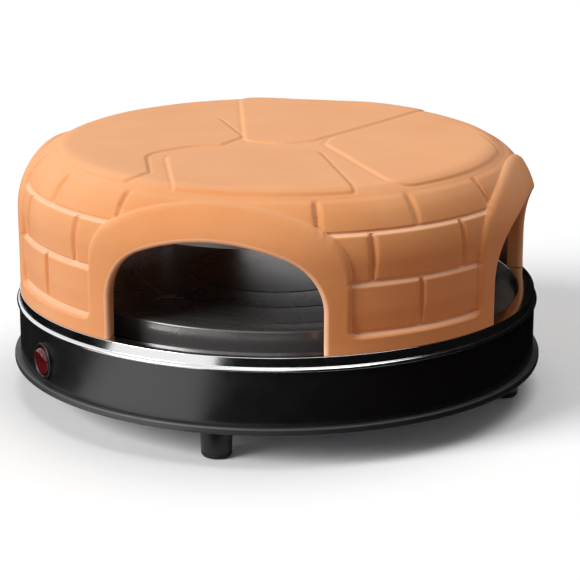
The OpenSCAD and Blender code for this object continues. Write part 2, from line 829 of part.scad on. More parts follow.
module wire_neutral() {
    pin = ring_end(lower_ring_r, -1, z_tray - rod_leg_down - terminal_len);
    color("#2f5f9e") wire_run([
        [pole_x, block_y - block_size[1] / 2, wire_z], [pole_x, pin[1] - 9, wire_z],
        [pin[0], pin[1] - 9, wire_z], [pin[0], pin[1], wire_z], pin
    ]);
}

module wire_upper(side) {
    socket = at(side * 135, leg_ring_r, 0, z_rim - socket_neck - tab_len);
    color(side < 0 ? "#2f5f9e" : "#c9482b") wire_run([
        [side * pole_x, block_y + block_size[1] / 2, wire_z], [side * pole_x, block_y + 16, wire_z],
        [side * 26, block_y + 16, wire_z], [side * 40, block_y - 2, wire_z],
        [socket[0], socket[1], wire_z], socket
    ]);
}

module wire_earth() {
    z_tag = z_floor + nut_h;
    color("#5f9a3a") {
        translate([0, earth_y, z_tag]) rotate([0, 0, -90]) ring_tag();
        wire_run([[0, block_y + block_size[1] / 2, wire_z], [0, block_y + block_size[1] / 2 + 3, wire_z],
                  [0, earth_y - tag_r - 1.5, z_tag + tag_t / 2]]);
    }
}

// ---------------------------------------------------------------- switch and gland

// Round body with a bezel on the wall's pad. The rocker's pins turn in its walls
module switch_housing() {
    back_t = 1.5;
    color("#141415") place(switch_az, switch_face_r, z_switch) outwards() difference() {
        union() {
            translate([0, 0, -switch_depth]) cylinder(r = switch_r, h = switch_depth);
            cylinder(r = bezel_r, h = bezel_h);
        }
        translate([0, 0, -switch_depth + back_t]) cylinder(r = bezel_bore_r, h = switch_depth + bezel_h);
        translate([0, 0, -pivot_in]) rotate([0, 90, 0])
            cylinder(r = pivot_r + fit_gap, h = 2 * switch_r - 0.4, center = true);
    }
}

module switch_terminals() {
    color("goldenrod") for (x = [-blade_x, blade_x])
        place(switch_az, switch_back_r, z_switch) translate([x - tab_t / 2, 0, -tab_w / 2])
            cube([tab_t, switch_back_r - blade_tip_r, tab_w]);
}

module switch_lamp() {
    lamp_r = 2;
    lamp_len = 8;
    color("#d46a4a") place(switch_az, switch_back_r + 1.5 + lamp_r, z_switch)
        rotate([0, 90, 0]) cylinder(r = lamp_r, h = lamp_len, center = true);
}

// Shallow V of two faces, trimmed to a ball so that it turns inside the round bezel.
// At rest its upper half stands out (off)
module switch_rocker() {
    v = rocker_r * tan(rocker_throw / 2);
    color("#6d1117") place(switch_az, switch_face_r - pivot_in, z_switch) outwards()
        rotate([rocker_throw / 2, 0, 0]) {
            intersection() {
                sphere(r = rocker_r);
                rotate([90, 0, 90]) linear_extrude(height = 2 * rocker_r, center = true) polygon([
                    [-rocker_r, -rocker_back], [rocker_r, -rocker_back], [rocker_r, rocker_face + v],
                    [0, rocker_face], [-rocker_r, rocker_face + v]
                ]);
            }
            rotate([0, 90, 0]) cylinder(r = pivot_r, h = 2 * switch_r - 0.8, center = true);
        }
}

module cord_gland() {
    color("#161617") place(gland_az, switch_face_r, z_switch) outwards() difference() {
        union() {
            translate([0, 0, -gland_len]) cylinder(r = gland_r, h = gland_len);
            cylinder(r = gland_flange_r, h = gland_flange_h);
        }
        translate([0, 0, -gland_len - 1]) cylinder(r = cord_bore_r, h = gland_len + gland_flange_h + 2);
    }
}

module gland_nut() {
    color("#202022") place(gland_az, base_r - wall_t - gland_nut_h - 0.3, z_switch) outwards() difference() {
        cylinder(r = gland_flange_r + 1, h = gland_nut_h, $fn = 6);
        translate([0, 0, -1]) cylinder(r = gland_r, h = gland_nut_h + 2);
    }
}

// ---------------------------------------------------------------- dome

// Half section of the dome's outside, moved out by d: upright wall, round shoulder, flat top
module dome_section(d) {
    mid_r = dome_r - shoulder_r;
    intersection() {
        union() {
            square([dome_r + d, dome_wall_h]);
            translate([mid_r, dome_wall_h]) circle(r = shoulder_r + d);
            square([mid_r, dome_h + d]);
        }
        square([dome_r + d, dome_h + d]);
    }
}

// Mouth outline on the floor line: upright sides, corner arcs, and a flatter arc that joins them
module mouth_outline(half_w, side_h, top_h, corner) {
    a = half_w - corner;
    h = top_h - side_h;
    crown_r = (a * a + h * h - corner * corner) / (2 * (h - corner));
    crown_z = top_h - crown_r;
    translate([-half_w, -1]) square([2 * half_w, side_h + 1]);
    for (side = [-1, 1]) translate([side * a, side_h]) circle(r = corner);
    intersection() {
        translate([0, crown_z]) circle(r = crown_r);
        polygon([[0, crown_z], [-a * 3, crown_z + 3 * (side_h - crown_z)], [a * 3, crown_z + 3 * (side_h - crown_z)]]);
    }
}

module through_wall(az) {
    rotate([0, 0, az]) translate([0, -dome_r * 0.6, 0]) outwards() linear_extrude(height = dome_r) children();
}

module corner_hull(points, r) {
    hull() for (p = points) translate(p) circle(r = r, $fn = 32);
}

module slabs() {
    intersection() {
        circle(r = slab_r);
        union() {
            corner_hull(front_slab, slab_corner);
            corner_hull(back_slab, slab_corner);
            corner_hull(right_slab, slab_corner);
            difference() {
                corner_hull(left_slab, slab_corner);
                corner_hull(front_slab, slab_corner + front_gap);
            }
        }
    }
}

// Everything that is cut joint_depth into the clay: bed joints, upright joints, and the slabs' channels
module joints_region() {
    for (z = bed_z) translate([0, 0, z - joint_w / 2]) cylinder(r = dome_r + 5, h = joint_w);
    for (quarter = mouth_az) {
        for (k = [1, 2, 3]) upright_joint(quarter + k * brick_angle, bed_z[2], dome_h - 4);
        for (k = [1.5, 2.5]) upright_joint(quarter + k * brick_angle, bed_z[1], bed_z[2]);
        upright_joint(quarter + 2 * brick_angle, bed_z[0], bed_z[1]);
    }
    translate([0, 0, dome_h - 12]) linear_extrude(height = 14) difference() {
        circle(r = slab_r + slab_edge_w);
        slabs();
    }
}

module upright_joint(az, z0, z1) {
    r_in = slab_r + 1;
    rotate([0, 0, az]) translate([-joint_w / 2, -dome_r - 5, z0]) cube([joint_w, dome_r + 5 - r_in, z1 - z0]);
}

module terracotta_dome() {
    color("#c98155") translate([0, 0, z_dome]) difference() {
        union() {
            difference() {
                rotate_extrude() dome_section(0);
                intersection() {
                    rotate_extrude() difference() {
                        dome_section(1);
                        dome_section(-joint_depth);
                    }
                    joints_region();
                }
            }
            intersection() {
                rotate_extrude() intersection() {
                    dome_section(frame_out);
                    square([dome_r + frame_out, dome_h - 2]);
                }
                union() {
                    cylinder(r = dome_r + 5, h = plinth_h);
                    for (az = mouth_az) through_wall(az) mouth_outline(
                        mouth_w / 2 + frame_side_w, mouth_side_h + frame_top_w, mouth_h + frame_top_w,
                        mouth_corner_r - 4);
                }
            }
        }
        translate([0, 0, -eps]) rotate_extrude() dome_section(-clay_t);
        for (az = mouth_az) through_wall(az) mouth_outline(mouth_w / 2, mouth_side_h, mouth_h, mouth_corner_r);
    }
}

base_wall();
bottom_plate();
base_screws();
foot(0);  // foot_front
foot(90);  // foot_right
foot(180);  // foot_back
foot(270);  // foot_left
foot_tips();
foot_screws();
rim_ring();
reflector_tray();
tray_screws();
dome_guides();
plate_rests();
lower_element();
lower_clips();
lower_beads();
heater_sockets();
socket_nuts();
socket_tabs();
heat_shield();
shield_spacers();
shield_screws();
thermostat();
thermostat_bracket();
thermostat_screws();
thermal_fuse();
terminal_block();
terminal_screws();
earth_stud();
wire_live();
wire_switched();
wire_element();
wire_neutral();
wire_upper(-1);  // wire_upper_left
wire_upper(1);  // wire_upper_right
wire_earth();
switch_housing();
switch_terminals();
switch_lamp();
cord_gland();
gland_nut();
baking_plate();
upper_reflector();
upper_element();
upper_clips();
upper_beads();
heater_leg(-45);  // leg_front_left
heater_leg(45);  // leg_front_right
heater_leg(-135);  // leg_back_left
heater_leg(135);  // leg_back_right
leg_nuts();
plug_pins();
pin_bushes();
upper_leads();
terracotta_dome();
switch_rocker();
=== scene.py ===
"""Electric pizza maker with a loose terracotta dome: its looks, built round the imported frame.

Lengths inside the shape functions are millimetres, measured from the floor and the middle of the object;
put() turns them into metres. Angles round the object (az) count from the front (-Y) towards the right (+X).
"""
import json
import math

import bmesh
import bpy
import numpy as np
from bpy.props import FloatProperty, FloatVectorProperty, PointerProperty
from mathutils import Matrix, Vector

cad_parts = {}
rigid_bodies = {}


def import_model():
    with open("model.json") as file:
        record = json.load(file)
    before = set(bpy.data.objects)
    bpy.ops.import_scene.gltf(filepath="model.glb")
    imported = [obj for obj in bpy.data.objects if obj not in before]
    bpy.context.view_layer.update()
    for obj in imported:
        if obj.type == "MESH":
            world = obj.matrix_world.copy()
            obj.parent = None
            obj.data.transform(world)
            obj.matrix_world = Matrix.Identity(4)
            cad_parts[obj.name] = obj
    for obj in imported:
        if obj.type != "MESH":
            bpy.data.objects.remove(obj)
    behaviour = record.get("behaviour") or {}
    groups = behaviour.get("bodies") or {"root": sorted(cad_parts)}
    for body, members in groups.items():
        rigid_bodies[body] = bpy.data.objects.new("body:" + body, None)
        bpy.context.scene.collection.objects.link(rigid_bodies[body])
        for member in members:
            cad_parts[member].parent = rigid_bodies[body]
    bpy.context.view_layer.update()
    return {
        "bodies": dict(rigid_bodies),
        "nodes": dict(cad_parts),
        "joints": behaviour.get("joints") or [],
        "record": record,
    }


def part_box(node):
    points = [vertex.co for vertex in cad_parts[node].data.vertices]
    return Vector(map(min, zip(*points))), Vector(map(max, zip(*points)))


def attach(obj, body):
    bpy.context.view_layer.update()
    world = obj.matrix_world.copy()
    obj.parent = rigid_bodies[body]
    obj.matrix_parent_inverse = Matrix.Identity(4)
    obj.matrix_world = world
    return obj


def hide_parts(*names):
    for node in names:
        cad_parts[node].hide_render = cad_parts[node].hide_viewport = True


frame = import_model()

bl_info = {
    "name": "Pizza Maker with Terracotta Dome",
    "version": (1, 0, 0),
    "blender": (4, 5, 0),
    "location": "View3D > Sidebar > Pizza Maker",
    "description": "Builds the clay dome, the black base, the steel rim, the switch and the finishes",
    "category": "Object",
}

MM = 0.001


def low(node):
    """Lowest corner of a frame node, in millimetres."""
    return np.array(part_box(node)[0]) / MM


def high(node):
    """Highest corner of a frame node, in millimetres."""
    return np.array(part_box(node)[1]) / MM


DOME_Z = low("terracotta_dome")[2]
RIM_Z = low("rim_ring")[2]
PLATE_TOP = high("baking_plate")[2]
QUARTERS = (0, 90, 180, 270)

# Rows of points over a quarter of the wall: on its outside, over the arch frame, round the mouth's edge.
WALL_ROWS, FRAME_ROWS, FILLET_ROWS = 44, 8, 7
# Half a brick's length, in degrees round the dome.
HALF_BRICK = 11.25
# How far above a bed joint a brick leans back out.
LEAN = 12
# Radius at which the wall's mesh passes into the top's, and at which the channel round the top starts.
SPLIT_R, CHANNEL_R = 154.0, 159.0
# Points along each side of the top's square grid.
CROWN_GRID = 279
# The switch: degrees round the object, radius of the side wall's face, height of its middle.
SWITCH_AZ, SWITCH_R, SWITCH_Z = -45, 178.8, 42.5
# Side of the square picture, and where the camera's aim falls in it from its left and its top.
PICTURE, AIM_X, AIM_Y = 580, 276.9, 291.68
# What the floor throws back on the object, and the reflector cards' black.
FLOOR_BOUNCE, CARD_BLACK, WHITE = (0.34, 0.17, 0.10, 1), (0.004, 0.004, 0.004, 1), (1, 1, 1, 1)
FLOOR_R, FLOOR_SIDES = 6, 96
# A Mix node's first of two value sockets and its result, by kind.
MIX_SOCKETS = {"FLOAT": (2, 0), "RGBA": (6, 2)}


# ---------------- meshes

def added(name, data):
    """A new object in the scene."""
    made = bpy.data.objects.new(name, data)
    bpy.context.scene.collection.objects.link(made)
    return made


def smooth(t):
    """Runs from 0 to 1 while t does, level at both ends."""
    t = np.clip(t, 0.0, 1.0)
    return t * t * (3 - 2 * t)


def step(distance, width):
    """1 well inside a line, 0 well outside it, turning over the width centred on it."""
    return 1 - smooth(distance / width + 0.5)


def blend_min(a, b, k):
    """The smaller of two distances, with the corner between them rounded over k."""
    h = np.clip(0.5 + 0.5 * (b - a) / k, 0, 1)
    return b + (a - b) * h - k * h * (1 - h)


def around(r, angle, z):
    """Points at radius r and height z, at an angle from the front towards the right."""
    x, y = r * np.sin(angle), -r * np.cos(angle)
    return np.stack([x, y, z + 0 * x], axis=-1)


def grid_quads(rows, cols, first=0, close=False):
    """Corner numbers of the quads of a grid of rows x cols points, row by row."""
    last = cols if close else cols - 1
    r, c = np.meshgrid(np.arange(rows - 1), np.arange(last), indexing="ij")
    a = r * cols + c
    b = r * cols + (c + 1) % cols
    return (first + np.stack([a, b, b + cols, a + cols], axis=-1)).reshape(-1, 4)


def put(name, points, faces, body, slot, replaces=(), merge=0.0, sharp=35.0, fill=False, flip=False,
        joint=None):
    """A smooth-shaded mesh object from points in millimetres and rows of corner numbers. Points closer than
    merge become one, edges steeper than sharp degrees stay crisp, fill closes what is open, and flip turns
    the faces over. joint is one number per point that the finish reads as the attribute of that name: how
    far the clay there is painted pale as a painted highlight."""
    mesh = bpy.data.meshes.new(name)
    points = np.asarray(points, float).reshape(-1, 3) * MM
    faces = [np.asarray(f, int) for f in (faces if isinstance(faces, (list, tuple)) else [faces])]
    if flip:
        faces = [f[:, ::-1] for f in faces]
    corners = np.concatenate([f.ravel() for f in faces])
    counts = np.concatenate([np.full(len(f), f.shape[1]) for f in faces])
    mesh.vertices.add(len(points))
    mesh.vertices.foreach_set("co", points.ravel())
    mesh.loops.add(len(corners))
    mesh.loops.foreach_set("vertex_index", corners)
    mesh.polygons.add(len(counts))
    mesh.polygons.foreach_set("loop_start", np.concatenate([[0], np.cumsum(counts)[:-1]]))
    mesh.update(calc_edges=True)
    if joint is not None:
        # joint: the painted highlight, a paler clay colour on the ledges and the mouths' rounded edges.
        mesh.attributes.new("joint", "FLOAT", "POINT").data.foreach_set("value", np.ravel(joint))
    if merge or fill:
        work = bmesh.new()
        work.from_mesh(mesh)
        bmesh.ops.remove_doubles(work, verts=work.verts, dist=max(merge, 1e-4) * MM)
        if fill:
            open_edges = [e for e in work.edges if e.is_boundary]
            made = bmesh.ops.holes_fill(work, edges=open_edges, sides=0)["faces"]
            bmesh.ops.triangulate(work, faces=made)
        work.to_mesh(mesh)
        work.free()
    mesh.validate()
    mesh.polygons.foreach_set("use_smooth", np.ones(len(mesh.polygons), bool))
    mesh.set_sharp_from_angle(angle=math.radians(sharp))
    piece = added(name, mesh)
    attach(piece, body)
    if replaces:
        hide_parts(*replaces)
    piece.data.materials.append(finish_of(slot))
    return piece


def lathe(profile, turns=256, angle=None):
    """Points and quads of a profile of (radius, height) rows swept about the z axis, all round or over the
    angles given; a row on the axis closes into a pole when doubles are merged."""
    profile, close = np.asarray(profile, float), angle is None
    if close:
        angle = np.linspace(0, 2 * math.pi, turns, endpoint=False)
    points = around(profile[:, :1], angle, profile[:, 1:])
    return points.reshape(-1, 3), grid_quads(len(profile), len(angle), close=close)


def rounded(corners, steps=5):
    """A closed profile: each corner is (radius, height, fillet); the fillet's arc touches both sides."""
    out = []
    n = len(corners)
    for i in range(n):
        p = np.array(corners[i][:2], float)
        a = np.array(corners[i - 1][:2], float) - p
        b = np.array(corners[(i + 1) % n][:2], float) - p
        fillet = corners[i][2]
        if fillet <= 0:
            out.append(p)
            continue
        a, b = a / np.linalg.norm(a), b / np.linalg.norm(b)
        half = math.acos(np.clip(a @ b, -1, 1)) / 2
        middle = p + (a + b) / np.linalg.norm(a + b) * fillet / math.sin(half)
        start, end = p + a * fillet / math.tan(half) - middle, p + b * fillet / math.tan(half) - middle
        sweep = math.pi - 2 * half
        for t in np.linspace(0, 1, steps + 1):
            turned = start * math.sin((1 - t) * sweep) + end * math.sin(t * sweep)
            out.append(middle + turned / math.sin(sweep))
    return np.array(out)


# ---------------- node materials

class Value:
    """A number socket that reads like a number: + * and ** add Math nodes."""

    def __init__(self, make, socket):
        self.make, self.socket = make, socket

    def _math(self, operation, a, b):
        return self.make.number("ShaderNodeMath", {"operation": operation}, {0: a, 1: b})

    def __add__(self, other):
        return self._math("ADD", self, other)

    def __mul__(self, other):
        return self._math("MULTIPLY", self, other)

    def __pow__(self, other):
        return self._math("POWER", self, other)


class Finish:
    """One node material, written as a short recipe."""

    def __init__(self, name):
        self.material = bpy.data.materials.new(name + "_finish")
        self.material.use_nodes = True
        self.tree = self.material.node_tree
        self.tree.nodes.clear()
        self.place = self.node("ShaderNodeTexCoord").outputs["Object"]
        self.shader = self.node("ShaderNodeBsdfPrincipled")
        self.end = self.node("ShaderNodeOutputMaterial")
        self.tree.links.new(self.shader.outputs["BSDF"], self.end.inputs["Surface"])

    def node(self, kind, settings=None, inputs=None):
        """Adds a node: its settings (a ramp's stops under 'stops'), then its sockets' values or links."""
        made = self.tree.nodes.new(kind)
        for key, value in (settings or {}).items():
            if key == "stops":
                ramp = made.color_ramp
                while len(ramp.elements) < len(value):
                    ramp.elements.new(0.5)
                for element, (position, color) in zip(ramp.elements, value):
                    element.position, element.color = position, color
            else:
                setattr(made, key, value)
        for key, value in (inputs or {}).items():
            self.feed(made.inputs[key], value)
        return made

    def feed(self, socket, value):
        """Links a value to a socket, or writes it there; a colour of three numbers gets its fourth."""
        if isinstance(value, Value):
            value = value.socket
        if isinstance(value, bpy.types.NodeSocket):
            self.tree.links.new(value, socket)
        elif socket.type == "RGBA" and len(value) == 3:
            socket.default_value = (*value, 1.0)
        else:
            socket.default_value = value

    def number(self, kind, settings=None, inputs=None, output=0):
        """One output of a new node, ready for sums."""
        return Value(self, self.node(kind, settings, inputs).outputs[output])

    def scaled(self, factors):
        """Object coordinates times three factors."""
        return self.node("ShaderNodeMapping", {}, {"Vector": self.place, "Scale": factors}).outputs[0]

    def noise(self, scale, detail=3.0, rough=0.5, place=None, twist=0.0):
        """Soft clouds, scale of them to a metre."""
        return self.number("ShaderNodeTexNoise", {}, {"Vector": place or self.place, "Scale": scale,
                                                      "Detail": detail, "Roughness": rough,
                                                      "Distortion": twist})

    def cells(self, scale):
        """Distance to the nearest of points strewn evenly, scale of them to a metre."""
        return self.number("ShaderNodeTexVoronoi", {}, {"Vector": self.place, "Scale": scale})

    def between(self, value, low_edge, high_edge, out_low=0.0, out_high=1.0):
        """Maps low_edge..high_edge to out_low..out_high, held at the ends."""
        return self.number("ShaderNodeMapRange", {"clamp": True},
                           {"Value": value, "From Min": low_edge, "From Max": high_edge,
                            "To Min": out_low, "To Max": out_high})

    def mix(self, factor, a, b):
        """One colour turning into another as the factor goes from 0 to 1."""
        made = self.tree.nodes.new("ShaderNodeMix")
        made.data_type = "RGBA"
        first, result = MIX_SOCKETS["RGBA"]
        for number, value in ((0, factor), (first, a), (first + 1, b)):
            self.feed(made.inputs[number], value)
        return made.outputs[result]

    def bump(self, height, strength, distance, under=None):
        """A normal tilted by a height of distance metres, over another bump where there is one."""
        inputs = {"Height": height, "Strength": strength, "Distance": distance}
        if under is not None:
            inputs["Normal"] = under
        return self.node("ShaderNodeBump", {}, inputs).outputs[0]

    def set(self, **sockets):
        """Sets the shader's sockets by their names, with _ for a space."""
        for key, value in sockets.items():
            self.feed(self.shader.inputs[key.replace("_", " ")], value)


def terracotta(name):
    """Unglazed fired clay: a warm body colour in soft clouds, fine grain and tiny pits, with a paler colour
    painted on as a highlight in the bed joints' up-facing ledges and round the mouths' rounded edges, and as
    a painted sheen where the clay is seen at a low angle.
    """
    look = bpy.context.scene.pizza_maker.clay
    f = Finish(name)
    clouds = f.noise(14.0, 4.0, 0.55)
    grain = f.noise(420.0, 3.0, 0.6)
    pits = f.cells(260.0)
    base = f.mix(f.between(clouds, 0.32, 0.7), look.deep[:], look.light[:])
    warm = f.mix(f.between(f.noise(6.0, 2.0, 0.5), 0.35, 0.7, 0.0, 0.5), base, look.blush[:])
    fine = f.mix(f.between(grain, 0.3, 0.75, 0.0, 0.28), warm, look.light[:])
    spotted = f.mix(f.between(pits, 0.0, 0.12, 0.16, 0.0), fine, look.deep[:])
    facing = f.number("ShaderNodeLayerWeight", {}, {"Blend": 0.5}, 1)
    # Painted highlight: the joint attribute marks the bed joints' up-facing ledges and the mouths' rounded
    # edges, which get the paler colour in place of light catching them.
    joint = f.number("ShaderNodeAttribute", {"attribute_name": "joint"}, {}, 2)
    spotted = f.mix(f.between(joint, 0.2, 0.9, 0.0, 0.75), spotted, look.painted_highlight[:])
    # Painted sheen: paler clay where the surface is seen at a low angle, in place of a glossy veil.
    painted_sheen = f.mix(f.between(facing, 0.2, 0.6, 0.0, 0.27), spotted, look.painted_highlight[:])
    rough = f.between(grain, 0.2, 0.8, look.roughness - 0.06, look.roughness + 0.08)
    f.set(Base_Color=painted_sheen, Roughness=rough, Specular_IOR_Level=0.12)
    coarse = f.bump(f.noise(90.0, 4.0, 0.6), 0.25, 0.0006)
    f.set(Normal=f.bump(grain + f.between(pits, 0.0, 0.15, -0.6, 0.0), 0.22, 0.0003, coarse))
    return f.material


def black_enamel(name):
    """Satin black stoved paint over sheet steel, with a very fine orange-peel."""
    f = Finish(name)
    peel = f.noise(700.0, 2.0, 0.5)
    height = f.number("ShaderNodeSeparateXYZ", {}, {0: f.place}, 2)
    lip = f.between(height, 0.026, 0.03, 0.3, 0.0)
    f.set(Base_Color=f.mix(f.noise(30.0, 3.0), (0.004, 0.004, 0.0042), (0.0065, 0.0065, 0.007)),
          Roughness=f.between(f.noise(60.0, 3.0), 0.3, 0.7, 0.27, 0.34) + lip, Specular_IOR_Level=1.0,
          Normal=f.bump(peel, 0.05, 0.0003))
    return f.material


def sheet_metal(name, color, roughness, brush=(1.0, 1.0, 60.0), strength=0.05, stain=0.12):
    """Rolled or turned sheet: fine lines across one direction, and faint stains."""
    f = Finish(name)
    lines = f.noise(60.0, 4.0, 0.6, f.scaled(brush))
    cloud = f.noise(24.0, 4.0, 0.6)
    dull = tuple(c * (1 - stain) for c in color)
    f.set(Base_Color=f.mix(cloud, dull, color), Metallic=1.0,
          Roughness=f.between(lines + cloud, 0.7, 1.3, roughness * 0.8, roughness * 1.25),
          Normal=f.bump(lines, strength, 0.0002))
    return f.material


def polished_steel(name):
    """Mirror-bright rim with faint lines that run round it, and a few handling smears."""
    f = Finish(name)
    lines = f.noise(90.0, 3.0, 0.6, f.scaled((0.4, 0.4, 30.0)))
    smear = f.noise(26.0, 4.0, 0.6, twist=0.6)
    f.set(Base_Color=(0.83, 0.83, 0.84), Metallic=1.0,
          Roughness=f.between(smear, 0.35, 0.75, 0.1, 0.2), Normal=f.bump(lines, 0.03, 0.0002))
    return f.material


def nonstick(name):
    """Glossy dark coating with turned rings in the sheet under it, dulled a little where it gets wiped."""
    f = Finish(name)
    split = f.node("ShaderNodeSeparateXYZ", {}, {0: f.place})
    x, y = Value(f, split.outputs[0]), Value(f, split.outputs[1])
    radius = (x * x + y * y) ** 0.5
    rings = f.number("ShaderNodeMath", {"operation": "SINE"}, {0: radius * 4200.0})
    wipe = f.noise(18.0, 4.0, 0.55, twist=0.8)
    speck = f.cells(900.0)
    f.set(Base_Color=f.mix(f.between(speck, 0.0, 0.3, 0.0, 1.0), (0.2, 0.19, 0.19), (0.15, 0.142, 0.142)),
          Metallic=0.55, Roughness=f.between(wipe, 0.3, 0.75, 0.25, 0.29), Specular_IOR_Level=0.5,
          Normal=f.bump(rings, 0.012, 0.0001, f.bump(f.noise(1400.0, 2.0), 0.012, 0.0001)))
    return f.material


def plastic(name, color, roughness, grain=500.0, strength=0.08, gloss=0.5):
    """Moulded plastic with a fine spark-eroded grain."""
    f = Finish(name)
    fine = f.noise(grain, 2.0, 0.5)
    worn = tuple(min(1.0, c * 1.25 + 0.004) for c in color)
    f.set(Base_Color=f.mix(f.between(f.noise(40.0, 3.0), 0.35, 0.75), color, worn),
          Roughness=f.between(fine, 0.3, 0.7, roughness - 0.05, roughness + 0.06), Specular_IOR_Level=gloss,
          Normal=f.bump(fine, strength, 0.0002))
    return f.material


def rocker_red(name):
    """Deep red plastic, see-through on the real rocker but drawn opaque here: glossy under a thin coat, in
    soft clouds of a darker and a lighter red.
    """
    f = Finish(name)
    cloud = f.noise(120.0, 2.0)
    f.set(Base_Color=f.mix(cloud, (0.075, 0.003, 0.006), (0.12, 0.006, 0.01)),
          Roughness=f.between(f.noise(400.0, 2.0), 0.3, 0.7, 0.2, 0.28), Coat_Weight=0.3, Coat_Roughness=0.12)
    return f.material


def ceramic(name, color, roughness):
    """Unglazed white insulator: matte, with fine speckle."""
    f = Finish(name)
    speck = f.cells(700.0)
    dark = tuple(c * 0.82 for c in color)
    f.set(Base_Color=f.mix(f.between(speck, 0.02, 0.2, 0.5, 0.0), color, dark),
          Roughness=f.between(f.noise(300.0, 3.0), 0.3, 0.7, roughness - 0.06, roughness + 0.06),
          Normal=f.bump(f.noise(500.0, 3.0), 0.12, 0.0002))
    return f.material


def element_sheath(name):
    """Heating rod: dark oxide in bands of brown and blue-grey, half metallic."""
    f = Finish(name)
    heat = f.noise(22.0, 4.0, 0.6, twist=0.5)
    color = f.node("ShaderNodeValToRGB", {"stops": [
        (0.25, (0.05, 0.042, 0.038, 1)), (0.5, (0.095, 0.075, 0.06, 1)), (0.75, (0.08, 0.085, 0.1, 1))]},
        {0: heat}).outputs[0]
    f.set(Base_Color=color, Metallic=0.7, Roughness=f.between(heat, 0.3, 0.7, 0.42, 0.6),
          Normal=f.bump(f.noise(420.0, 3.0), 0.15, 0.0002))
    return f.material


def sleeve(name, color, second=None):
    """Silicone or glass-fibre sleeve: fine braid, with a second colour wound round it where there is one."""
    f = Finish(name)
    braid = f.cells(1500.0)
    wave = f.noise(900.0, 2.0)
    shade = tuple(c * 0.7 for c in color)
    body = f.mix(f.between(braid, 0.1, 0.5), color, shade)
    if second:
        bands = f.number("ShaderNodeTexWave", {"bands_direction": "DIAGONAL"},
                         {"Vector": f.place, "Scale": 60.0, "Distortion": 1.0})
        body = f.mix(f.between(bands, 0.62, 0.68), body, second)
    f.set(Base_Color=body, Roughness=f.between(wave, 0.3, 0.7, 0.5, 0.65), Normal=f.bump(braid, 0.2, 0.0002))
    return f.material


def lamp_glass(name):
    """Small neon lamp: clear glass with an orange tinge."""
    f = Finish(name)
    f.set(Base_Color=f.mix(f.noise(300.0, 2.0), (0.85, 0.42, 0.26), (0.95, 0.55, 0.35)), Roughness=0.08,
          Alpha=0.65)
    return f.material


# For each slot its recipe and what the recipe is given after the name.
RECIPES = {
    "terracotta": (terracotta,),
    "black_enamel": (black_enamel,),
    "polished_steel": (polished_steel,),
    "nonstick": (nonstick,),
    "rocker_red": (rocker_red,),
    "element_sheath": (element_sheath,),
    "lamp_glass": (lamp_glass,),
    "galvanised": (sheet_metal, (0.5, 0.51, 0.53), 0.42, (1, 1, 1), 0.08, 0.25),
    "zinc_screws": (sheet_metal, (0.66, 0.66, 0.64), 0.3, (4, 4, 1), 0.08, 0.2),
    "reflector_steel": (sheet_metal, (0.24, 0.23, 0.22), 0.5, (1, 1, 40), 0.05, 0.25),
    "spring_steel": (sheet_metal, (0.55, 0.55, 0.55), 0.32, (3, 1, 1), 0.06, 0.2),
    "leg_steel": (sheet_metal, (0.6, 0.6, 0.6), 0.26, (30, 30, 1), 0.05, 0.25),
    "fuse_case": (sheet_metal, (0.72, 0.68, 0.55), 0.3, (1, 20, 1), 0.05, 0.1),
    "brass_contacts": (sheet_metal, (0.75, 0.55, 0.24), 0.26, (2, 2, 1), 0.05, 0.2),
    "black_plastic": (plastic, (0.006, 0.006, 0.0065), 0.36, 600.0, 0.1, 0.4),
    "tip_rubber": (plastic, (0.014, 0.014, 0.014), 0.78, 350.0, 0.25, 0.3),
    "thermostat_body": (plastic, (0.05, 0.035, 0.028), 0.42),
    "block_plastic": (plastic, (0.72, 0.69, 0.6), 0.5),
    "white_ceramic": (ceramic, (0.82, 0.79, 0.72), 0.6),
    "wire_brown": (sleeve, (0.14, 0.05, 0.02)),
    "wire_black": (sleeve, (0.02, 0.02, 0.02)),
    "wire_red": (sleeve, (0.42, 0.03, 0.02)),
    "wire_blue": (sleeve, (0.03, 0.09, 0.32)),
    "wire_green": (sleeve, (0.06, 0.22, 0.04), (0.75, 0.6, 0.03)),
    "glass_sleeve": (sleeve, (0.8, 0.79, 0.74)),
}


def finish_of(slot):
    """The finish made for a slot, made once."""
    found = bpy.data.materials.get(slot + "_finish")
    if found:
        return found
    recipe, *values = RECIPES[slot]
    return recipe(slot, *values)


# ---------------- clay dome

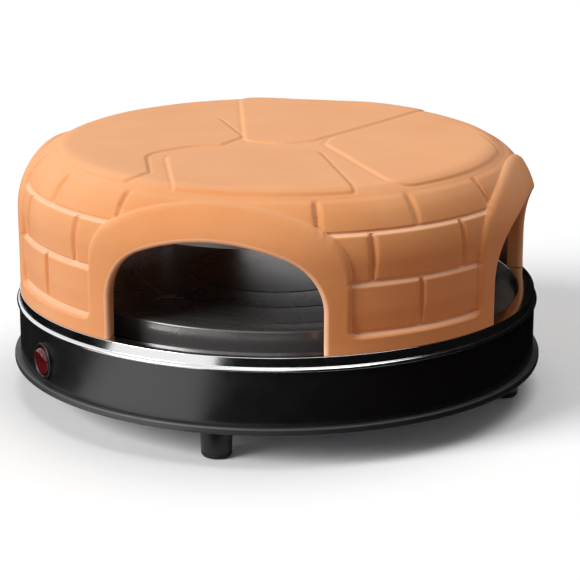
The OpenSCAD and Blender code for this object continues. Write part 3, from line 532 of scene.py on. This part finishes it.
class Outline:
    """Mouth or frame outline seen square on: upright sides, corner arcs, and a flatter crown arc."""

    def __init__(self, half_w, side_h, top_h, corner):
        self.half_w, self.side_h, self.top_h, self.corner = half_w, side_h, top_h, corner
        self.a, h = half_w - corner, top_h - side_h
        self.crown_r = (self.a ** 2 + h ** 2 - corner ** 2) / (2 * (h - corner))
        self.crown_z = top_h - self.crown_r
        self.wedge = math.atan2(side_h - self.crown_z, self.a)

    def distance(self, x, z):
        """Distance outside the outline (negative inside) of points x across and z up."""
        x = np.abs(x)
        crown = np.hypot(x, z - self.crown_z) - self.crown_r
        corner = np.hypot(x - self.a, z - self.side_h) - self.corner
        in_crown = np.arctan2(z - self.crown_z, x) > self.wedge
        return np.where(in_crown, crown, np.where(z > self.side_h, corner, x - self.half_w))

    def side_x(self, z):
        """How far out the left half is at height z, on its side and corner arc."""
        up = np.clip((z - self.side_h) / self.corner, 0, 1)
        return np.where(z < self.side_h, -self.half_w, -self.a - self.corner * np.sqrt(1 - up * up))

    def corner_top(self):
        """Height where the corner arc meets the crown arc."""
        return self.side_h + self.corner * math.sin(self.wedge)

    def crown(self, count):
        """Left half of the crown arc, from the corner arc to the top."""
        phi = np.linspace(math.pi - self.wedge, math.pi / 2, count + 1)[1:]
        return self.crown_r * np.cos(phi), self.crown_z + self.crown_r * np.sin(phi)

    def half(self, z, count, grow=0.0):
        """Left half grown outwards: points at the heights z up its side, then count even steps over both
        arcs to the top."""
        corner, crown = self.corner + grow, self.crown_r + grow
        side = max(self.side_h - z[-1], 0)
        arc1, arc2 = corner * self.wedge, crown * (math.pi / 2 - self.wedge)
        s = np.linspace(0, side + arc1 + arc2, count + 1)[1:] - side
        phi1, phi2 = math.pi - s / corner, (math.pi - self.wedge) - (s - arc1) / crown
        x = np.where(s < arc1, -self.a + corner * np.cos(phi1), crown * np.cos(phi2))
        up = np.where(s < arc1, self.side_h + corner * np.sin(phi1), self.crown_z + crown * np.sin(phi2))
        x, up = np.where(s <= 0, -self.half_w - grow, x), np.where(s <= 0, self.side_h + s, up)
        return np.concatenate([np.full(len(z), -self.half_w - grow), x]), np.concatenate([z, up])


def between_lines(a, b, t):
    """The line of az and s that lies the share t of the way from line a to line b."""
    return a[0] + (b[0] - a[0]) * t, a[1] + (b[1] - a[1]) * t


class Clay:
    """The dome's outside: an upright wall, a round shoulder and a nearly flat top, with the relief on it."""
    mouth_side_h, mouth_corner = 26.0, 38.0
    frame_wider, frame_higher, frame_side_h, frame_corner = 15, 22, 48.0, 34.0

    def __init__(self, sizes):
        self.wall_r, self.wall_h = sizes.wall_radius / MM, sizes.wall_height / MM
        self.shoulder = sizes.shoulder / MM
        self.top, self.thick = sizes.height / MM, sizes.thickness / MM
        self.raise_, self.sink = sizes.frame_raise / MM, sizes.joint_depth / MM
        self.plinth, self.course, self.joint = sizes.plinth / MM, sizes.course / MM, sizes.joint_width / MM
        self.channel = sizes.channel_depth / MM
        half_w, mouth_h = sizes.mouth_width / 2 / MM, sizes.mouth_height / MM
        self.mouth = Outline(half_w, self.mouth_side_h, mouth_h, self.mouth_corner)
        self.frame = Outline(half_w + self.frame_wider, self.frame_side_h, mouth_h + self.frame_higher,
                             self.frame_corner)
        self.fillet = sizes.mouth_fillet / MM
        self.mid_r = self.wall_r - self.shoulder
        self.split_s = self.s_at(SPLIT_R)
        self.beds = [self.plinth + self.joint / 2, self.plinth + self.course + self.joint / 4,
                     self.plinth + 2 * self.course]

    def s_at(self, r):
        """Length along the section, from the foot, to radius r on the shoulder."""
        return self.wall_h + self.shoulder * math.acos((r - self.mid_r) / self.shoulder)

    def section(self, s):
        """Radius, height and outward direction at length s along the section."""
        turn = np.clip((s - self.wall_h) / self.shoulder, 0, None)
        nr, nz = np.cos(turn), np.sin(turn)
        r = self.mid_r + self.shoulder * nr
        z = np.where(s < self.wall_h, s, self.wall_h + self.shoulder * nz)
        return r, z, nr, nz

    def s_of_height(self, z):
        """Length along the section, from the foot, to height z."""
        up = np.clip((z - self.wall_h) / self.shoulder, 0, 0.999)
        return np.where(z < self.wall_h, z, self.wall_h + self.shoulder * np.arcsin(up))

    def ripple(self, x, y, z):
        """Low waves a hand-pressed mould leaves, at most 0.48 mm deep."""
        return 0.14 * (np.sin(x / 17 + 1.3 * np.sin(y / 29)) * np.sin(z / 15 + 0.4) +
                       0.7 * np.sin(y / 11 + z / 23) * np.cos(x / 13 + 0.8)) - 0.24

    def wall_relief(self, az, s):
        """Height of the relief on the wall at az degrees from a mouth's middle, and how far it is on a
        ledge from 0 to 1, which the finish turns into a painted highlight where light from above would catch
        the ledge: arch frames and plinth stand out, bed and upright joints are cut in. A bed joint's
        lower side is a sloping ledge; above it the brick leans back out."""
        r, z, _, _ = self.section(s)
        across = r * np.sin(np.radians(az))
        frame_d = self.frame.distance(across, z)
        border = step(blend_min(frame_d, z - self.plinth - 0.5, 7.0), 2.0)
        cut, pale = np.zeros_like(z), np.zeros_like(z)
        for k, bed in enumerate(self.beds):
            up = s - self.s_of_height(np.array(bed - self.joint / 2))
            slope = 1.0 if k else 1.3
            ledge = np.clip(up / (self.joint - 1.3), 0, 1) * slope
            drop = 1 - smooth((up - self.joint + 1.1) / 1.1)
            lean = np.clip(1 - (up - self.joint) / LEAN, 0, 1)
            cut = np.maximum(cut, ledge * (0.6 * drop + 0.4 * lean))
            # Painted highlight: the bed joint's up-facing ledge is marked for a paler clay colour, as if
            # light from above caught it.
            pale = np.maximum(pale, np.clip(up / 0.8, 0, 1) * drop)
        rows = ((self.beds[2], 200.0, (2 * HALF_BRICK, 4 * HALF_BRICK)),
                (self.beds[1], self.beds[2], (3 * HALF_BRICK,)),
                (self.beds[0], self.beds[1], (4 * HALF_BRICK,)))
        for z0, z1, places in rows:
            inside = smooth((z - z0 + 1.0) / 2.0) * smooth((z1 + 1.0 - z) / 2.0)
            for place in places:
                off = np.abs(np.abs(az) - place) * math.pi / 180 * r
                cut = np.maximum(cut, inside * step(off - self.joint / 2 + 0.5, 2.0))
        row = np.digitize(z, self.beds)
        brick = np.floor(np.abs(az) / HALF_BRICK + 0.5 * row)
        uneven = 0.22 * np.sin(7.3 * row + 12.9 * brick)
        height = border * self.raise_ + (1 - border) * (uneven * (1 - cut) - cut * self.sink)
        start = self.s_at(CHANNEL_R)
        ring = smooth((s - start) / (self.split_s - start - 0.5))
        return height * (1 - ring) - self.channel * ring, pale * (1 - border) * (1 - ring)

    def lift(self, quarter, az, s, extra=0.0):
        """Points on the outside, az degrees from the middle of the quarter's mouth, s along the section."""
        r, z, nr, nz = self.section(s)
        h = self.wall_relief(az, s)[0] + extra
        a = np.radians(az + quarter)
        h = h + self.ripple(r * np.sin(a), -r * np.cos(a), z) * smooth(z / 6)
        return around(r + nr * h, a, z + nz * h)

    def under(self, quarter, az, s):
        """Points on the inside, the clay's thickness under the plain outside."""
        r, z, nr, nz = self.section(s)
        return around(r - nr * self.thick, np.radians(az + quarter), z - nz * self.thick)

    def quarter_lines(self):
        """Matching lines from the left foot over the top to the right foot, as az and s, along the frame's
        edge and along the quarter's border. Up the sides they are level and crowd at the bed joints."""
        split, half_joint = self.mouth.side_h, self.joint / 2
        clusters = [np.linspace(bed - half_joint - 1.2, bed + half_joint + 1.2, 14) for bed in self.beds]
        low_z = np.concatenate([np.linspace(0, clusters[0][0], 4)[:-1], clusters[0],
                                np.linspace(clusters[0][-1], split, 5)[1:]])
        mid_z = np.concatenate([np.linspace(split, clusters[1][0], 7)[1:-1], clusters[1],
                                np.linspace(clusters[1][-1], clusters[2][0], 11)[1:-1], clusters[2],
                                [self.frame.corner_top()]])
        z, count = np.concatenate([low_z, mid_z]), 95
        crown_x, crown_z = self.frame.crown(count)
        frame = self.on_wall(np.concatenate([self.frame.side_x(z), crown_x]), np.concatenate([z, crown_z]))
        edge_s = self.s_of_height(z)
        rise, across = self.split_s - edge_s[-1], math.pi / 4 * 158
        t = np.linspace(0, rise + across, count + 1)[1:]
        t[np.argmin(np.abs(t - rise))] = rise
        edge_az = np.where(t <= rise, -45.0, -45 + (t - rise) / across * 45)
        edge = (np.concatenate([np.full(len(z), -45.0), edge_az]),
                np.concatenate([edge_s, np.minimum(edge_s[-1] + t, self.split_s)]))
        return low_z, len(mid_z) + count, self.both(*frame), self.both(*edge)

    def on_wall(self, x, z):
        """az and s of points of the outside seen square on at x across and z up."""
        s = self.s_of_height(z)
        return np.degrees(np.arcsin(np.clip(x / self.section(s)[0], -1, 1))), s

    @staticmethod
    def both(az, s):
        """A left half and its mirror image, foot to foot."""
        return np.concatenate([az, -az[-2::-1]]), np.concatenate([s, s[-2::-1]])

    def quarter(self, quarter):
        """Rows of points over one quarter of the wall: outside from its border to the mouth's edge, round
        that edge, through the wall, and over the inside back to the border. With them, how pale each point
        is painted: a painted highlight on the ledges and round the mouth's rounded edge, where light catches
        them."""
        low_z, count, frame_line, border = self.quarter_lines()
        fillet, rows = self.fillet, []
        mouth = self.both(*self.on_wall(*self.mouth.half(low_z, count, fillet)))
        for t in np.linspace(0, 1, WALL_ROWS + 1)[:-1]:
            rows.append(self.lift(quarter, *between_lines(border, frame_line, t)))
        for t in np.linspace(0, 1, FRAME_ROWS + 1)[:-1]:
            rows.append(self.lift(quarter, *between_lines(frame_line, mouth, t)))
        for turn in np.linspace(0, math.pi / 2, FILLET_ROWS):
            az, s = self.both(*self.on_wall(*self.mouth.half(low_z, count, fillet * (1 - math.sin(turn)))))
            rows.append(self.lift(quarter, az, s, -fillet * (1 - math.cos(turn))))
        outer = rows[-1]
        x, z = self.mouth.half(low_z, count)
        inner_arc = self.shoulder - self.thick
        up = np.clip((z - self.wall_h) / inner_arc, 0, 0.999)
        r_in = self.mid_r + inner_arc * np.sqrt(1 - up * up)
        inside = self.both(np.degrees(np.arcsin(x / r_in)),
                           np.where(z < self.wall_h, z, self.wall_h + self.shoulder * np.arcsin(up)))
        inner = self.under(quarter, *inside)
        for t in np.linspace(0, 1, 4)[1:]:
            rows.append(outer + (inner - outer) * t)
        for t in np.linspace(0, 1, 6)[1:]:
            rows.append(self.under(quarter, *between_lines(inside, border, t)))
        grid = np.stack(rows)
        t = np.linspace(0, 1, WALL_ROWS + 1)[:-1, None]
        joint = np.zeros(grid.shape[:2])
        joint[:WALL_ROWS] = self.wall_relief(*between_lines(border, frame_line, t))[1]
        edge_row = WALL_ROWS + FRAME_ROWS
        # Painted highlight round the mouth's rounded edge, where the light catches it.
        joint[edge_row + 1:edge_row + FILLET_ROWS] = 1.0
        return grid, joint

    def crown_height(self, x, y):
        """Height of the top at x, y: the shoulder's arc or the dome's height, whichever is less, with the
        corner between them rounded."""
        r = np.hypot(x, y)
        reach = np.clip(r - self.mid_r, 0, self.shoulder * 0.999)
        arc = self.wall_h + np.sqrt(self.shoulder ** 2 - reach ** 2)
        return blend_min(arc, np.full_like(arc, self.top), 1.6)


# Corners of the slabs on top, in millimetres from the middle; +y is the back.
SLABS = {
    "front": [[-44, -72], [-33, -57], [-6, -48], [27, -41], [68, -130], [-16, -150]],
    "back": [[-10, -1], [4, -3], [16, 6], [68, 128], [-46, 125]],
    "right": [[48, -6], [48, 12], [76, 72], [122, 42], [142, 0], [142, -60], [104, -92]],
    "left": [[-37, -2], [-64, 46], [-98, 44], [-136, -30], [-100, -104], [-70, -124]],
}


def hull_distance(x, y, points, corner):
    """Distance outside a convex outline with rounded corners: its straight edges, then its corner arcs."""
    p = np.array(points, float)
    middle = p.mean(0)
    p = p[np.argsort(np.arctan2(p[:, 1] - middle[1], p[:, 0] - middle[0]))]
    inside = np.full(x.shape, -1e9)
    outside = np.full(x.shape, 1e9)
    for a, b in zip(p, np.roll(p, -1, axis=0)):
        edge = b - a
        length = np.hypot(*edge)
        nx, ny = edge[1] / length, -edge[0] / length
        inside = np.maximum(inside, (x - a[0]) * nx + (y - a[1]) * ny)
        t = np.clip(((x - a[0]) * edge[0] + (y - a[1]) * edge[1]) / length ** 2, 0, 1)
        outside = np.minimum(outside, np.hypot(x - a[0] - t * edge[0], y - a[1] - t * edge[1]))
    return np.where(inside < 0, inside, outside) - corner


def slab_cut(x, y, depth):
    """Depth cut into the top: nothing on the slabs, the channel's depth between them, and a finer groove
    along the foot of each slab's edge."""
    front = hull_distance(x, y, SLABS["front"], 12)
    left = np.maximum(hull_distance(x, y, SLABS["left"], 12), 14 - front)
    nearest = np.minimum(np.minimum(front, left), np.minimum(hull_distance(x, y, SLABS["back"], 12),
                                                              hull_distance(x, y, SLABS["right"], 12)))
    nearest = np.maximum(nearest, np.hypot(x, y) - 151)
    groove = np.exp(-((nearest - 1.0) / 1.3) ** 2) * smooth((153.5 - np.hypot(x, y)) / 3)
    return depth * smooth((nearest + 1.0) / 2.8) + 0.55 * groove


def build_dome_wall(clay):
    """The clay wall: four quarters of the same grid, merged along their borders. A strip closes the ring
    under the top between the outside and the inside; the four feet are filled."""
    points, joints, faces, first = [], [], [], 0
    edge_s = clay.quarter_lines()[3][1]
    ring = np.flatnonzero(edge_s > clay.split_s - 1e-6)[:-1]
    for quarter in QUARTERS:
        grid, joint = clay.quarter(quarter)
        rows, cols = grid.shape[:2]
        points.append(grid.reshape(-1, 3))
        # Each quarter's painted highlight on its ledges and mouth edge, one number per point.
        joints.append(joint.ravel())
        inside, outside = first + (rows - 1) * cols + ring, first + ring
        strip = np.stack([inside, inside + 1, outside + 1, outside], axis=-1)
        faces += [grid_quads(rows, cols, first), strip]
        first += rows * cols
    points = np.concatenate(points) + [0, 0, DOME_Z]
    return put("dome_wall", points, np.concatenate(faces), "dome", "terracotta", ("terracotta_dome",),
               merge=0.02, sharp=42.0, fill=True, flip=True, joint=np.concatenate(joints))


def build_dome_crown(clay):
    """The dome's top: a square grid bent into a disc, x = u sqrt(1 - v2/2), y = v sqrt(1 - u2/2), lifted to
    the section's height and cut by the slabs' channels; its underside is the clay's thickness lower."""
    n = CROWN_GRID
    u, v = np.meshgrid(np.linspace(-1, 1, n), np.linspace(-1, 1, n), indexing="xy")
    x, y = SPLIT_R * u * np.sqrt(1 - v * v / 2), SPLIT_R * v * np.sqrt(1 - u * u / 2)
    r = np.hypot(x, y)
    z = clay.crown_height(x, y)
    slope = np.clip((r - clay.mid_r) / clay.shoulder, 0, 1) * smooth((r - 140) / 6)
    cut = clay.ripple(x, y, z) - slab_cut(x, y, clay.channel)
    a = np.arctan2(x, -y)
    top = around(r + slope * cut, a, z + np.sqrt(1 - slope ** 2) * cut)
    edge = np.concatenate([np.arange(n), np.arange(2 * n - 1, n * n, n),
                           np.arange(n * n - 2, n * n - n - 1, -1), np.arange(n * n - 2 * n, 0, -n)])
    az = a.ravel()[edge]
    inner_arc = clay.shoulder - clay.thick
    over = clay.wall_h + clay.shoulder * math.pi / 2
    turns = (np.linspace(clay.split_s, over, 7) - clay.wall_h) / clay.shoulder
    levels = [(clay.mid_r + inner_arc * math.cos(t), clay.wall_h + inner_arc * math.sin(t)) for t in turns]
    ceiling = levels[-1][1]
    levels += [(rad, ceiling) for rad in (110, 80, 50, 20)]
    rings = [around(rad, az, up) for rad, up in levels]
    m = len(edge)
    points = np.concatenate([top.reshape(-1, 3), *rings, [[0, 0, ceiling]]])
    first = n * n
    strip = np.stack([edge, np.roll(edge, -1), first + (np.arange(m) + 1) % m, first + np.arange(m)],
                     axis=-1)[:, ::-1]
    rest = grid_quads(len(rings), m, first, close=True)[:, ::-1]
    last = first + (len(rings) - 1) * m
    fan = np.stack([last + np.arange(m), np.full(m, len(points) - 1), last + (np.arange(m) + 1) % m], axis=-1)
    faces = [grid_quads(n, n), strip, rest, fan]
    return put("dome_crown", points + [0, 0, DOME_Z], faces, "dome", "terracotta", ("terracotta_dome",),
               sharp=42.0)


# ---------------- steel, plate and switch

def build_rim():
    """The rim's wall with its rolled bead and the turned-in land that the dome stands on."""
    top, z = high("rim_ring")[2], RIM_Z
    land_r, skirt_in, wall_in, wall_r, bead_r, sheet = 166.3, 167.5, 176.3, 177.5, 180.0, 1.2
    corners = [(land_r, z + 0.1, 0.1), (skirt_in, z + 0.1, 0.1), (skirt_in, top - sheet, 0.8),
               (wall_in, top - sheet, 0.8), (wall_in, z + 0.1, 0.2), (wall_r, z, 0.1), (178.9, z + 0.15, 0.5),
               (bead_r, z + 1.3, 1.0), (178.7, z + 2.6, 0.9), (wall_r, z + 2.9, 0.5), (wall_r, top, 0.4),
               (land_r, top, 1.0)]
    profile = rounded(corners, 6)
    points, quads = lathe(np.vstack([profile, profile[:1]]), 320)
    return put("steel_rim", points, quads, "base", "polished_steel", ("rim_ring",), merge=0.001, sharp=50.0)


def build_plate():
    """The baking plate: turned-down edge, rounded border, sunk face with turned rings."""
    top = PLATE_TOP
    face = top - 1.5
    corners = [(0, face, 0)]
    for ring in (60.0, 95.0, 130.0):
        corners += [(ring - 1.6, face, 0.4), (ring - 0.5, face - 0.25, 0.4), (ring + 0.5, face - 0.25, 0.4),
                    (ring + 1.6, face, 0.4)]
    skirt_z, outer_r, inner_r, under = 66.0, 151.5, 149.0, face - 2.5
    corners += [(141.0, face, 1.2), (143.4, top, 0.9), (outer_r, top, 1.5), (outer_r, skirt_z, 0.5),
                (inner_r, skirt_z, 0.5), (inner_r, under, 1.6), (0, under, 0)]
    points, quads = lathe(rounded(corners, 5), 288)
    return put("baking_plate_face", points, quads, "plate", "nonstick", ("baking_plate",), merge=0.001,
               sharp=50.0, flip=True)


def wall_place(points, az, radius, height):
    """Moves points built about the z axis (z outwards) to the side wall: x along it, y up, z out of it."""
    a = math.radians(az)
    across = np.array([math.cos(a), math.sin(a), 0])
    out = np.array([math.sin(a), -math.cos(a), 0])
    x, y, z = points[..., :1], points[..., 1:2], points[..., 2:]
    return x * across + y * np.array([0, 0, 1]) + z * out + out * radius + np.array([0, 0, height])


def build_switch():
    """The switch's round bezel, with a soft edge and a sunk collar; the rocker in it is the frame's."""
    corners = [(0, -18.5, 0), (9.9, -18.5, 0.3), (9.9, 1.2, 0.5), (10.6, 2.0, 0.4), (12.0, 1.7, 0.9),
               (12.0, 0.05, 0.1), (10.6, 0.0, 0.1), (10.6, -20, 0.5), (0, -20, 0)]
    points, quads = lathe(rounded(corners, 6), 96)
    points = wall_place(points, SWITCH_AZ, SWITCH_R, SWITCH_Z)
    return put("switch_bezel", points, quads, "base", "black_plastic", ("switch_housing",), merge=0.001,
               sharp=40.0, flip=True)


# ---------------- settings

def metres(name, description, default):
    """A length setting, its default given in millimetres."""
    return FloatProperty(name=name, description=description, default=default * MM, unit="LENGTH",
                         subtype="DISTANCE", precision=4)


def colour(name, description, default):
    """A colour setting."""
    return FloatVectorProperty(name=name, description=description, default=default, size=3, min=0, max=1,
                               subtype="COLOR")


class PizzaMakerDomeSizes(bpy.types.PropertyGroup):
    """Sizes of the clay dome."""
    wall_radius: metres("Wall radius", "Outer radius of the upright wall", 175.0)
    wall_height: metres("Wall height", "Height of the upright wall up to its shoulder", 57.0)
    shoulder: metres("Shoulder", "Radius of the shoulder between wall and top", 45.3)
    height: metres("Height", "Height of the dome", 100.0)
    thickness: metres("Thickness", "Thickness of the clay", 9.0)
    mouth_width: metres("Mouth width", "Width of each mouth", 139.0)
    mouth_height: metres("Mouth height", "Height of each mouth", 70.3)
    mouth_fillet: metres("Mouth fillet", "Rounding of each mouth's front edge", 2.6)
    frame_raise: metres("Frame relief", "How far the arch frames and the plinth stand out", 2.2)
    joint_depth: metres("Joint depth", "How deep the joints are cut", 2.2)
    channel_depth: metres("Channel depth", "How deep the channels between the slabs on top are", 0.9)
    joint_width: metres("Joint width", "Width of the joints", 4.5)
    plinth: metres("Plinth", "Height of the plinth under the bricks", 9.5)
    course: metres("Course", "Height of a course of bricks", 33.0)


class PizzaMakerClayLook(bpy.types.PropertyGroup):
    """Colours of the clay."""
    light: colour("Light", "Lighter clay", (0.80, 0.368, 0.152))
    deep: colour("Deep", "Deeper clay", (0.72, 0.29, 0.105))
    blush: colour("Blush", "Redder clouds in the clay", (0.82, 0.335, 0.13))
    # Painted highlight: a paler clay colour that stands in for light on the bed joints' ledges and the
    # mouths' rounded edges, and for a sheen at a low angle.
    painted_highlight: colour("Painted_highlight", "Pale bloom at worn edges, in joints and at a low angle", (0.95, 0.58, 0.37))
    roughness: FloatProperty(name="Roughness", description="Roughness of the fired clay", default=0.62,
                             min=0, max=1)


class PizzaMakerStudio(bpy.types.PropertyGroup):
    """Camera, lamps and floor."""
    azimuth: FloatProperty(name="Azimuth", default=math.radians(13.82), unit="ROTATION", subtype="ANGLE",
                           description="Direction the camera stands in, from the front towards the right")
    elevation: FloatProperty(name="Elevation", description="How far the camera looks down",
                             default=math.radians(16.31), unit="ROTATION", subtype="ANGLE")
    distance: FloatProperty(name="Distance", description="Camera to the middle of the rim", default=1.4827,
                            unit="LENGTH", subtype="DISTANCE")
    lens: FloatProperty(name="Lens", default=132.26,
                        description="Focal length on a 36 mm sensor, in millimetres")
    key: FloatProperty(name="Key", description="Strength of the key lamp", default=2.8)
    top: FloatProperty(name="Top", description="Strength of the lamp overhead", default=1.25)
    world: FloatProperty(name="Surroundings", description="Strength of the even light all round", default=0.2)


class PizzaMakerSettings(bpy.types.PropertyGroup):
    """All settings of the pizza maker."""
    dome: PointerProperty(type=PizzaMakerDomeSizes, name="Dome", description="Sizes of the dome")
    clay: PointerProperty(type=PizzaMakerClayLook, name="Clay", description="Colours of the clay")
    studio: PointerProperty(type=PizzaMakerStudio, name="Studio", description="Camera and light")


class Step:
    """What the steps share: each builds its pieces and is then finished."""

    def execute(self, context):
        self.build(context)
        return {"FINISHED"}


class PIZZA_OT_dome(Step, bpy.types.Operator):
    """Build the clay dome: its wall with four arched mouths and its slabbed top"""
    bl_idname = "pizza_maker.dome"
    bl_label = "Clay dome"

    def build(self, context):
        clay = Clay(context.scene.pizza_maker.dome)
        build_dome_wall(clay)
        build_dome_crown(clay)


class PIZZA_OT_steel(Step, bpy.types.Operator):
    """Build the steel rim and the baking plate"""
    bl_idname = "pizza_maker.steel"
    bl_label = "Rim and plate"

    def build(self, context):
        build_rim()
        build_plate()


class PIZZA_OT_switch(Step, bpy.types.Operator):
    """Build the switch's bezel"""
    bl_idname = "pizza_maker.switch"
    bl_label = "Switch"

    def build(self, context):
        build_switch()


class PIZZA_OT_finishes(Step, bpy.types.Operator):
    """Give every piece of the frame the finish of its slot"""
    bl_idname = "pizza_maker.finishes"
    bl_label = "Finishes"

    def build(self, context):
        for entry in frame["record"]["subparts"]:
            piece = frame["nodes"][entry["node"]]
            piece.data.materials.clear()
            piece.data.materials.append(finish_of(entry["material_slot"]))


def by_ray(tree, kind, light, seen, end):
    """Feeds the socket end with seen for rays from the camera, a mirror or glass, and with light for those
    that only carry light. kind is RGBA for colours and FLOAT for numbers."""
    first, result = MIX_SOCKETS[kind]
    mixed = tree.nodes.new("ShaderNodeMix")
    mixed.data_type = kind
    mixed.inputs[first].default_value, mixed.inputs[first + 1].default_value = light, seen
    paths = tree.nodes.new("ShaderNodeLightPath")
    total = paths.outputs["Is Camera Ray"]
    for ray in ("Is Glossy Ray", "Is Transmission Ray"):
        both = tree.nodes.new("ShaderNodeMath")
        both.operation = "MAXIMUM"
        tree.links.new(total, both.inputs[0])
        tree.links.new(paths.outputs[ray], both.inputs[1])
        total = both.outputs[0]
    tree.links.new(total, mixed.inputs[0])
    tree.links.new(mixed.outputs[result], end)


def matt_paint(name):
    """A material without gloss, and its shader."""
    paint = bpy.data.materials.new(name)
    paint.use_nodes = True
    shader = paint.node_tree.nodes["Principled BSDF"]
    shader.inputs["Specular IOR Level"].default_value = 0.0
    return paint, shader


def look_from(rig, target, azimuth, elevation, distance):
    """Stands a camera or lamp in a direction from the target and turns it to the target."""
    back = Vector((math.sin(azimuth) * math.cos(elevation), -math.cos(azimuth) * math.cos(elevation),
                   math.sin(elevation)))
    rig.location = Vector(target) + back * distance
    rig.rotation_euler = back.to_track_quat("Z", "Y").to_euler()


def dark_card(name, start, end, profile):
    """A dark reflector card, seen only in reflections: (radius, height) rows swept from start to end
    degrees round the object."""
    points, quads = lathe(profile, angle=np.radians(np.linspace(start, end, 160)))
    mesh = bpy.data.meshes.new(name)
    mesh.from_pydata(points.tolist(), [], quads.tolist())
    card = added(name, mesh)
    for rays in ("camera", "diffuse", "transmission", "shadow", "volume_scatter"):
        setattr(card, "visible_" + rays, False)
    paint, shader = matt_paint(name)
    shader.inputs["Base Color"].default_value = CARD_BLACK
    mesh.materials.append(paint)


def build_floor():
    """A round floor, white where it is seen and warm in the light that it throws back."""
    angle = np.linspace(0, 2 * math.pi, FLOOR_SIDES, endpoint=False)
    mesh = bpy.data.meshes.new("studio_floor")
    mesh.from_pydata(around(FLOOR_R, angle, 0).tolist(), [], [list(range(FLOOR_SIDES))])
    floor = added("studio_floor", mesh)
    paint, shader = matt_paint("studio_floor")
    shader.inputs["Roughness"].default_value = 1.0
    by_ray(paint.node_tree, "RGBA", FLOOR_BOUNCE, WHITE, shader.inputs["Base Color"])
    mesh.materials.append(paint)


def build_surroundings(scene, strength):
    """White all round where it is seen, and an even light of the given strength."""
    world = bpy.data.worlds.new("studio")
    scene.world = world
    world.use_nodes = True
    background = world.node_tree.nodes["Background"]
    by_ray(world.node_tree, "FLOAT", strength, 1.0, background.inputs["Strength"])
    background.inputs["Color"].default_value = WHITE


class PIZZA_OT_stage(Step, bpy.types.Operator):
    """Set up the floor, the lamps, the dark reflector cards and the camera"""
    bl_idname = "pizza_maker.stage"
    bl_label = "Stage"

    def build(self, context):
        scene, studio = context.scene, context.scene.pizza_maker.studio
        scene.view_settings.view_transform = "Standard"
        build_floor()
        build_surroundings(scene, studio.world)
        dark_card("low_card", -7, 312, [(0.19, 0.001), (1.1, 0.001), (1.6, 0.06), (2.0, 0.34)])
        dark_card("right_card", 20, 187, [(2.0, 0.34), (1.9, 0.8), (1.6, 1.3), (1.1, 1.8)])

        for name, azimuth, elevation, strength, soft in (
                ("key_lamp", -48, 29, studio.key, 30), ("top_lamp", 130, 78, studio.top, 50)):
            lamp = bpy.data.lights.new(name, "SUN")
            lamp.energy, lamp.angle = strength, math.radians(soft)
            look_from(added(name, lamp), (0, 0, 0.1), math.radians(azimuth), math.radians(elevation), 2.0)

        view = bpy.data.cameras.new("camera")
        view.lens, view.sensor_width = studio.lens, 36.0
        view.shift_x = (PICTURE / 2 - AIM_X) / PICTURE
        view.shift_y = (AIM_Y - PICTURE / 2) / PICTURE
        view.clip_end = 50
        camera = added("camera", view)
        look_from(camera, (0, 0, 0.0625), studio.azimuth, studio.elevation, studio.distance)
        scene.camera = camera


STEPS = (PIZZA_OT_dome, PIZZA_OT_steel, PIZZA_OT_switch, PIZZA_OT_finishes, PIZZA_OT_stage)


class PIZZA_PT_panel(bpy.types.Panel):
    """Lists the steps and the sizes"""
    bl_idname = "PIZZA_PT_panel"
    bl_label = "Pizza Maker"
    bl_space_type = "VIEW_3D"
    bl_region_type = "UI"
    bl_category = "Pizza Maker"

    def draw(self, context):
        for each in STEPS:
            self.layout.operator(each.bl_idname)
        settings = context.scene.pizza_maker
        for group in (settings.dome, settings.clay, settings.studio):
            box = self.layout.box()
            for name in group.bl_rna.properties.keys():
                if name not in ("rna_type", "name"):
                    box.prop(group, name)


CLASSES = (PizzaMakerDomeSizes, PizzaMakerClayLook, PizzaMakerStudio, PizzaMakerSettings, *STEPS,
           PIZZA_PT_panel)


def register():
    """Adds the settings, the steps and the panel."""
    for each in CLASSES:
        bpy.utils.register_class(each)
    bpy.types.Scene.pizza_maker = PointerProperty(type=PizzaMakerSettings)


def unregister():
    """Takes them away again."""
    del bpy.types.Scene.pizza_maker
    for each in reversed(CLASSES):
        bpy.utils.unregister_class(each)


def main():
    """Runs every step."""
    register()
    for each in STEPS:
        getattr(bpy.ops.pizza_maker, each.bl_idname.split(".")[1])()


if __name__ == "__main__":
    main()
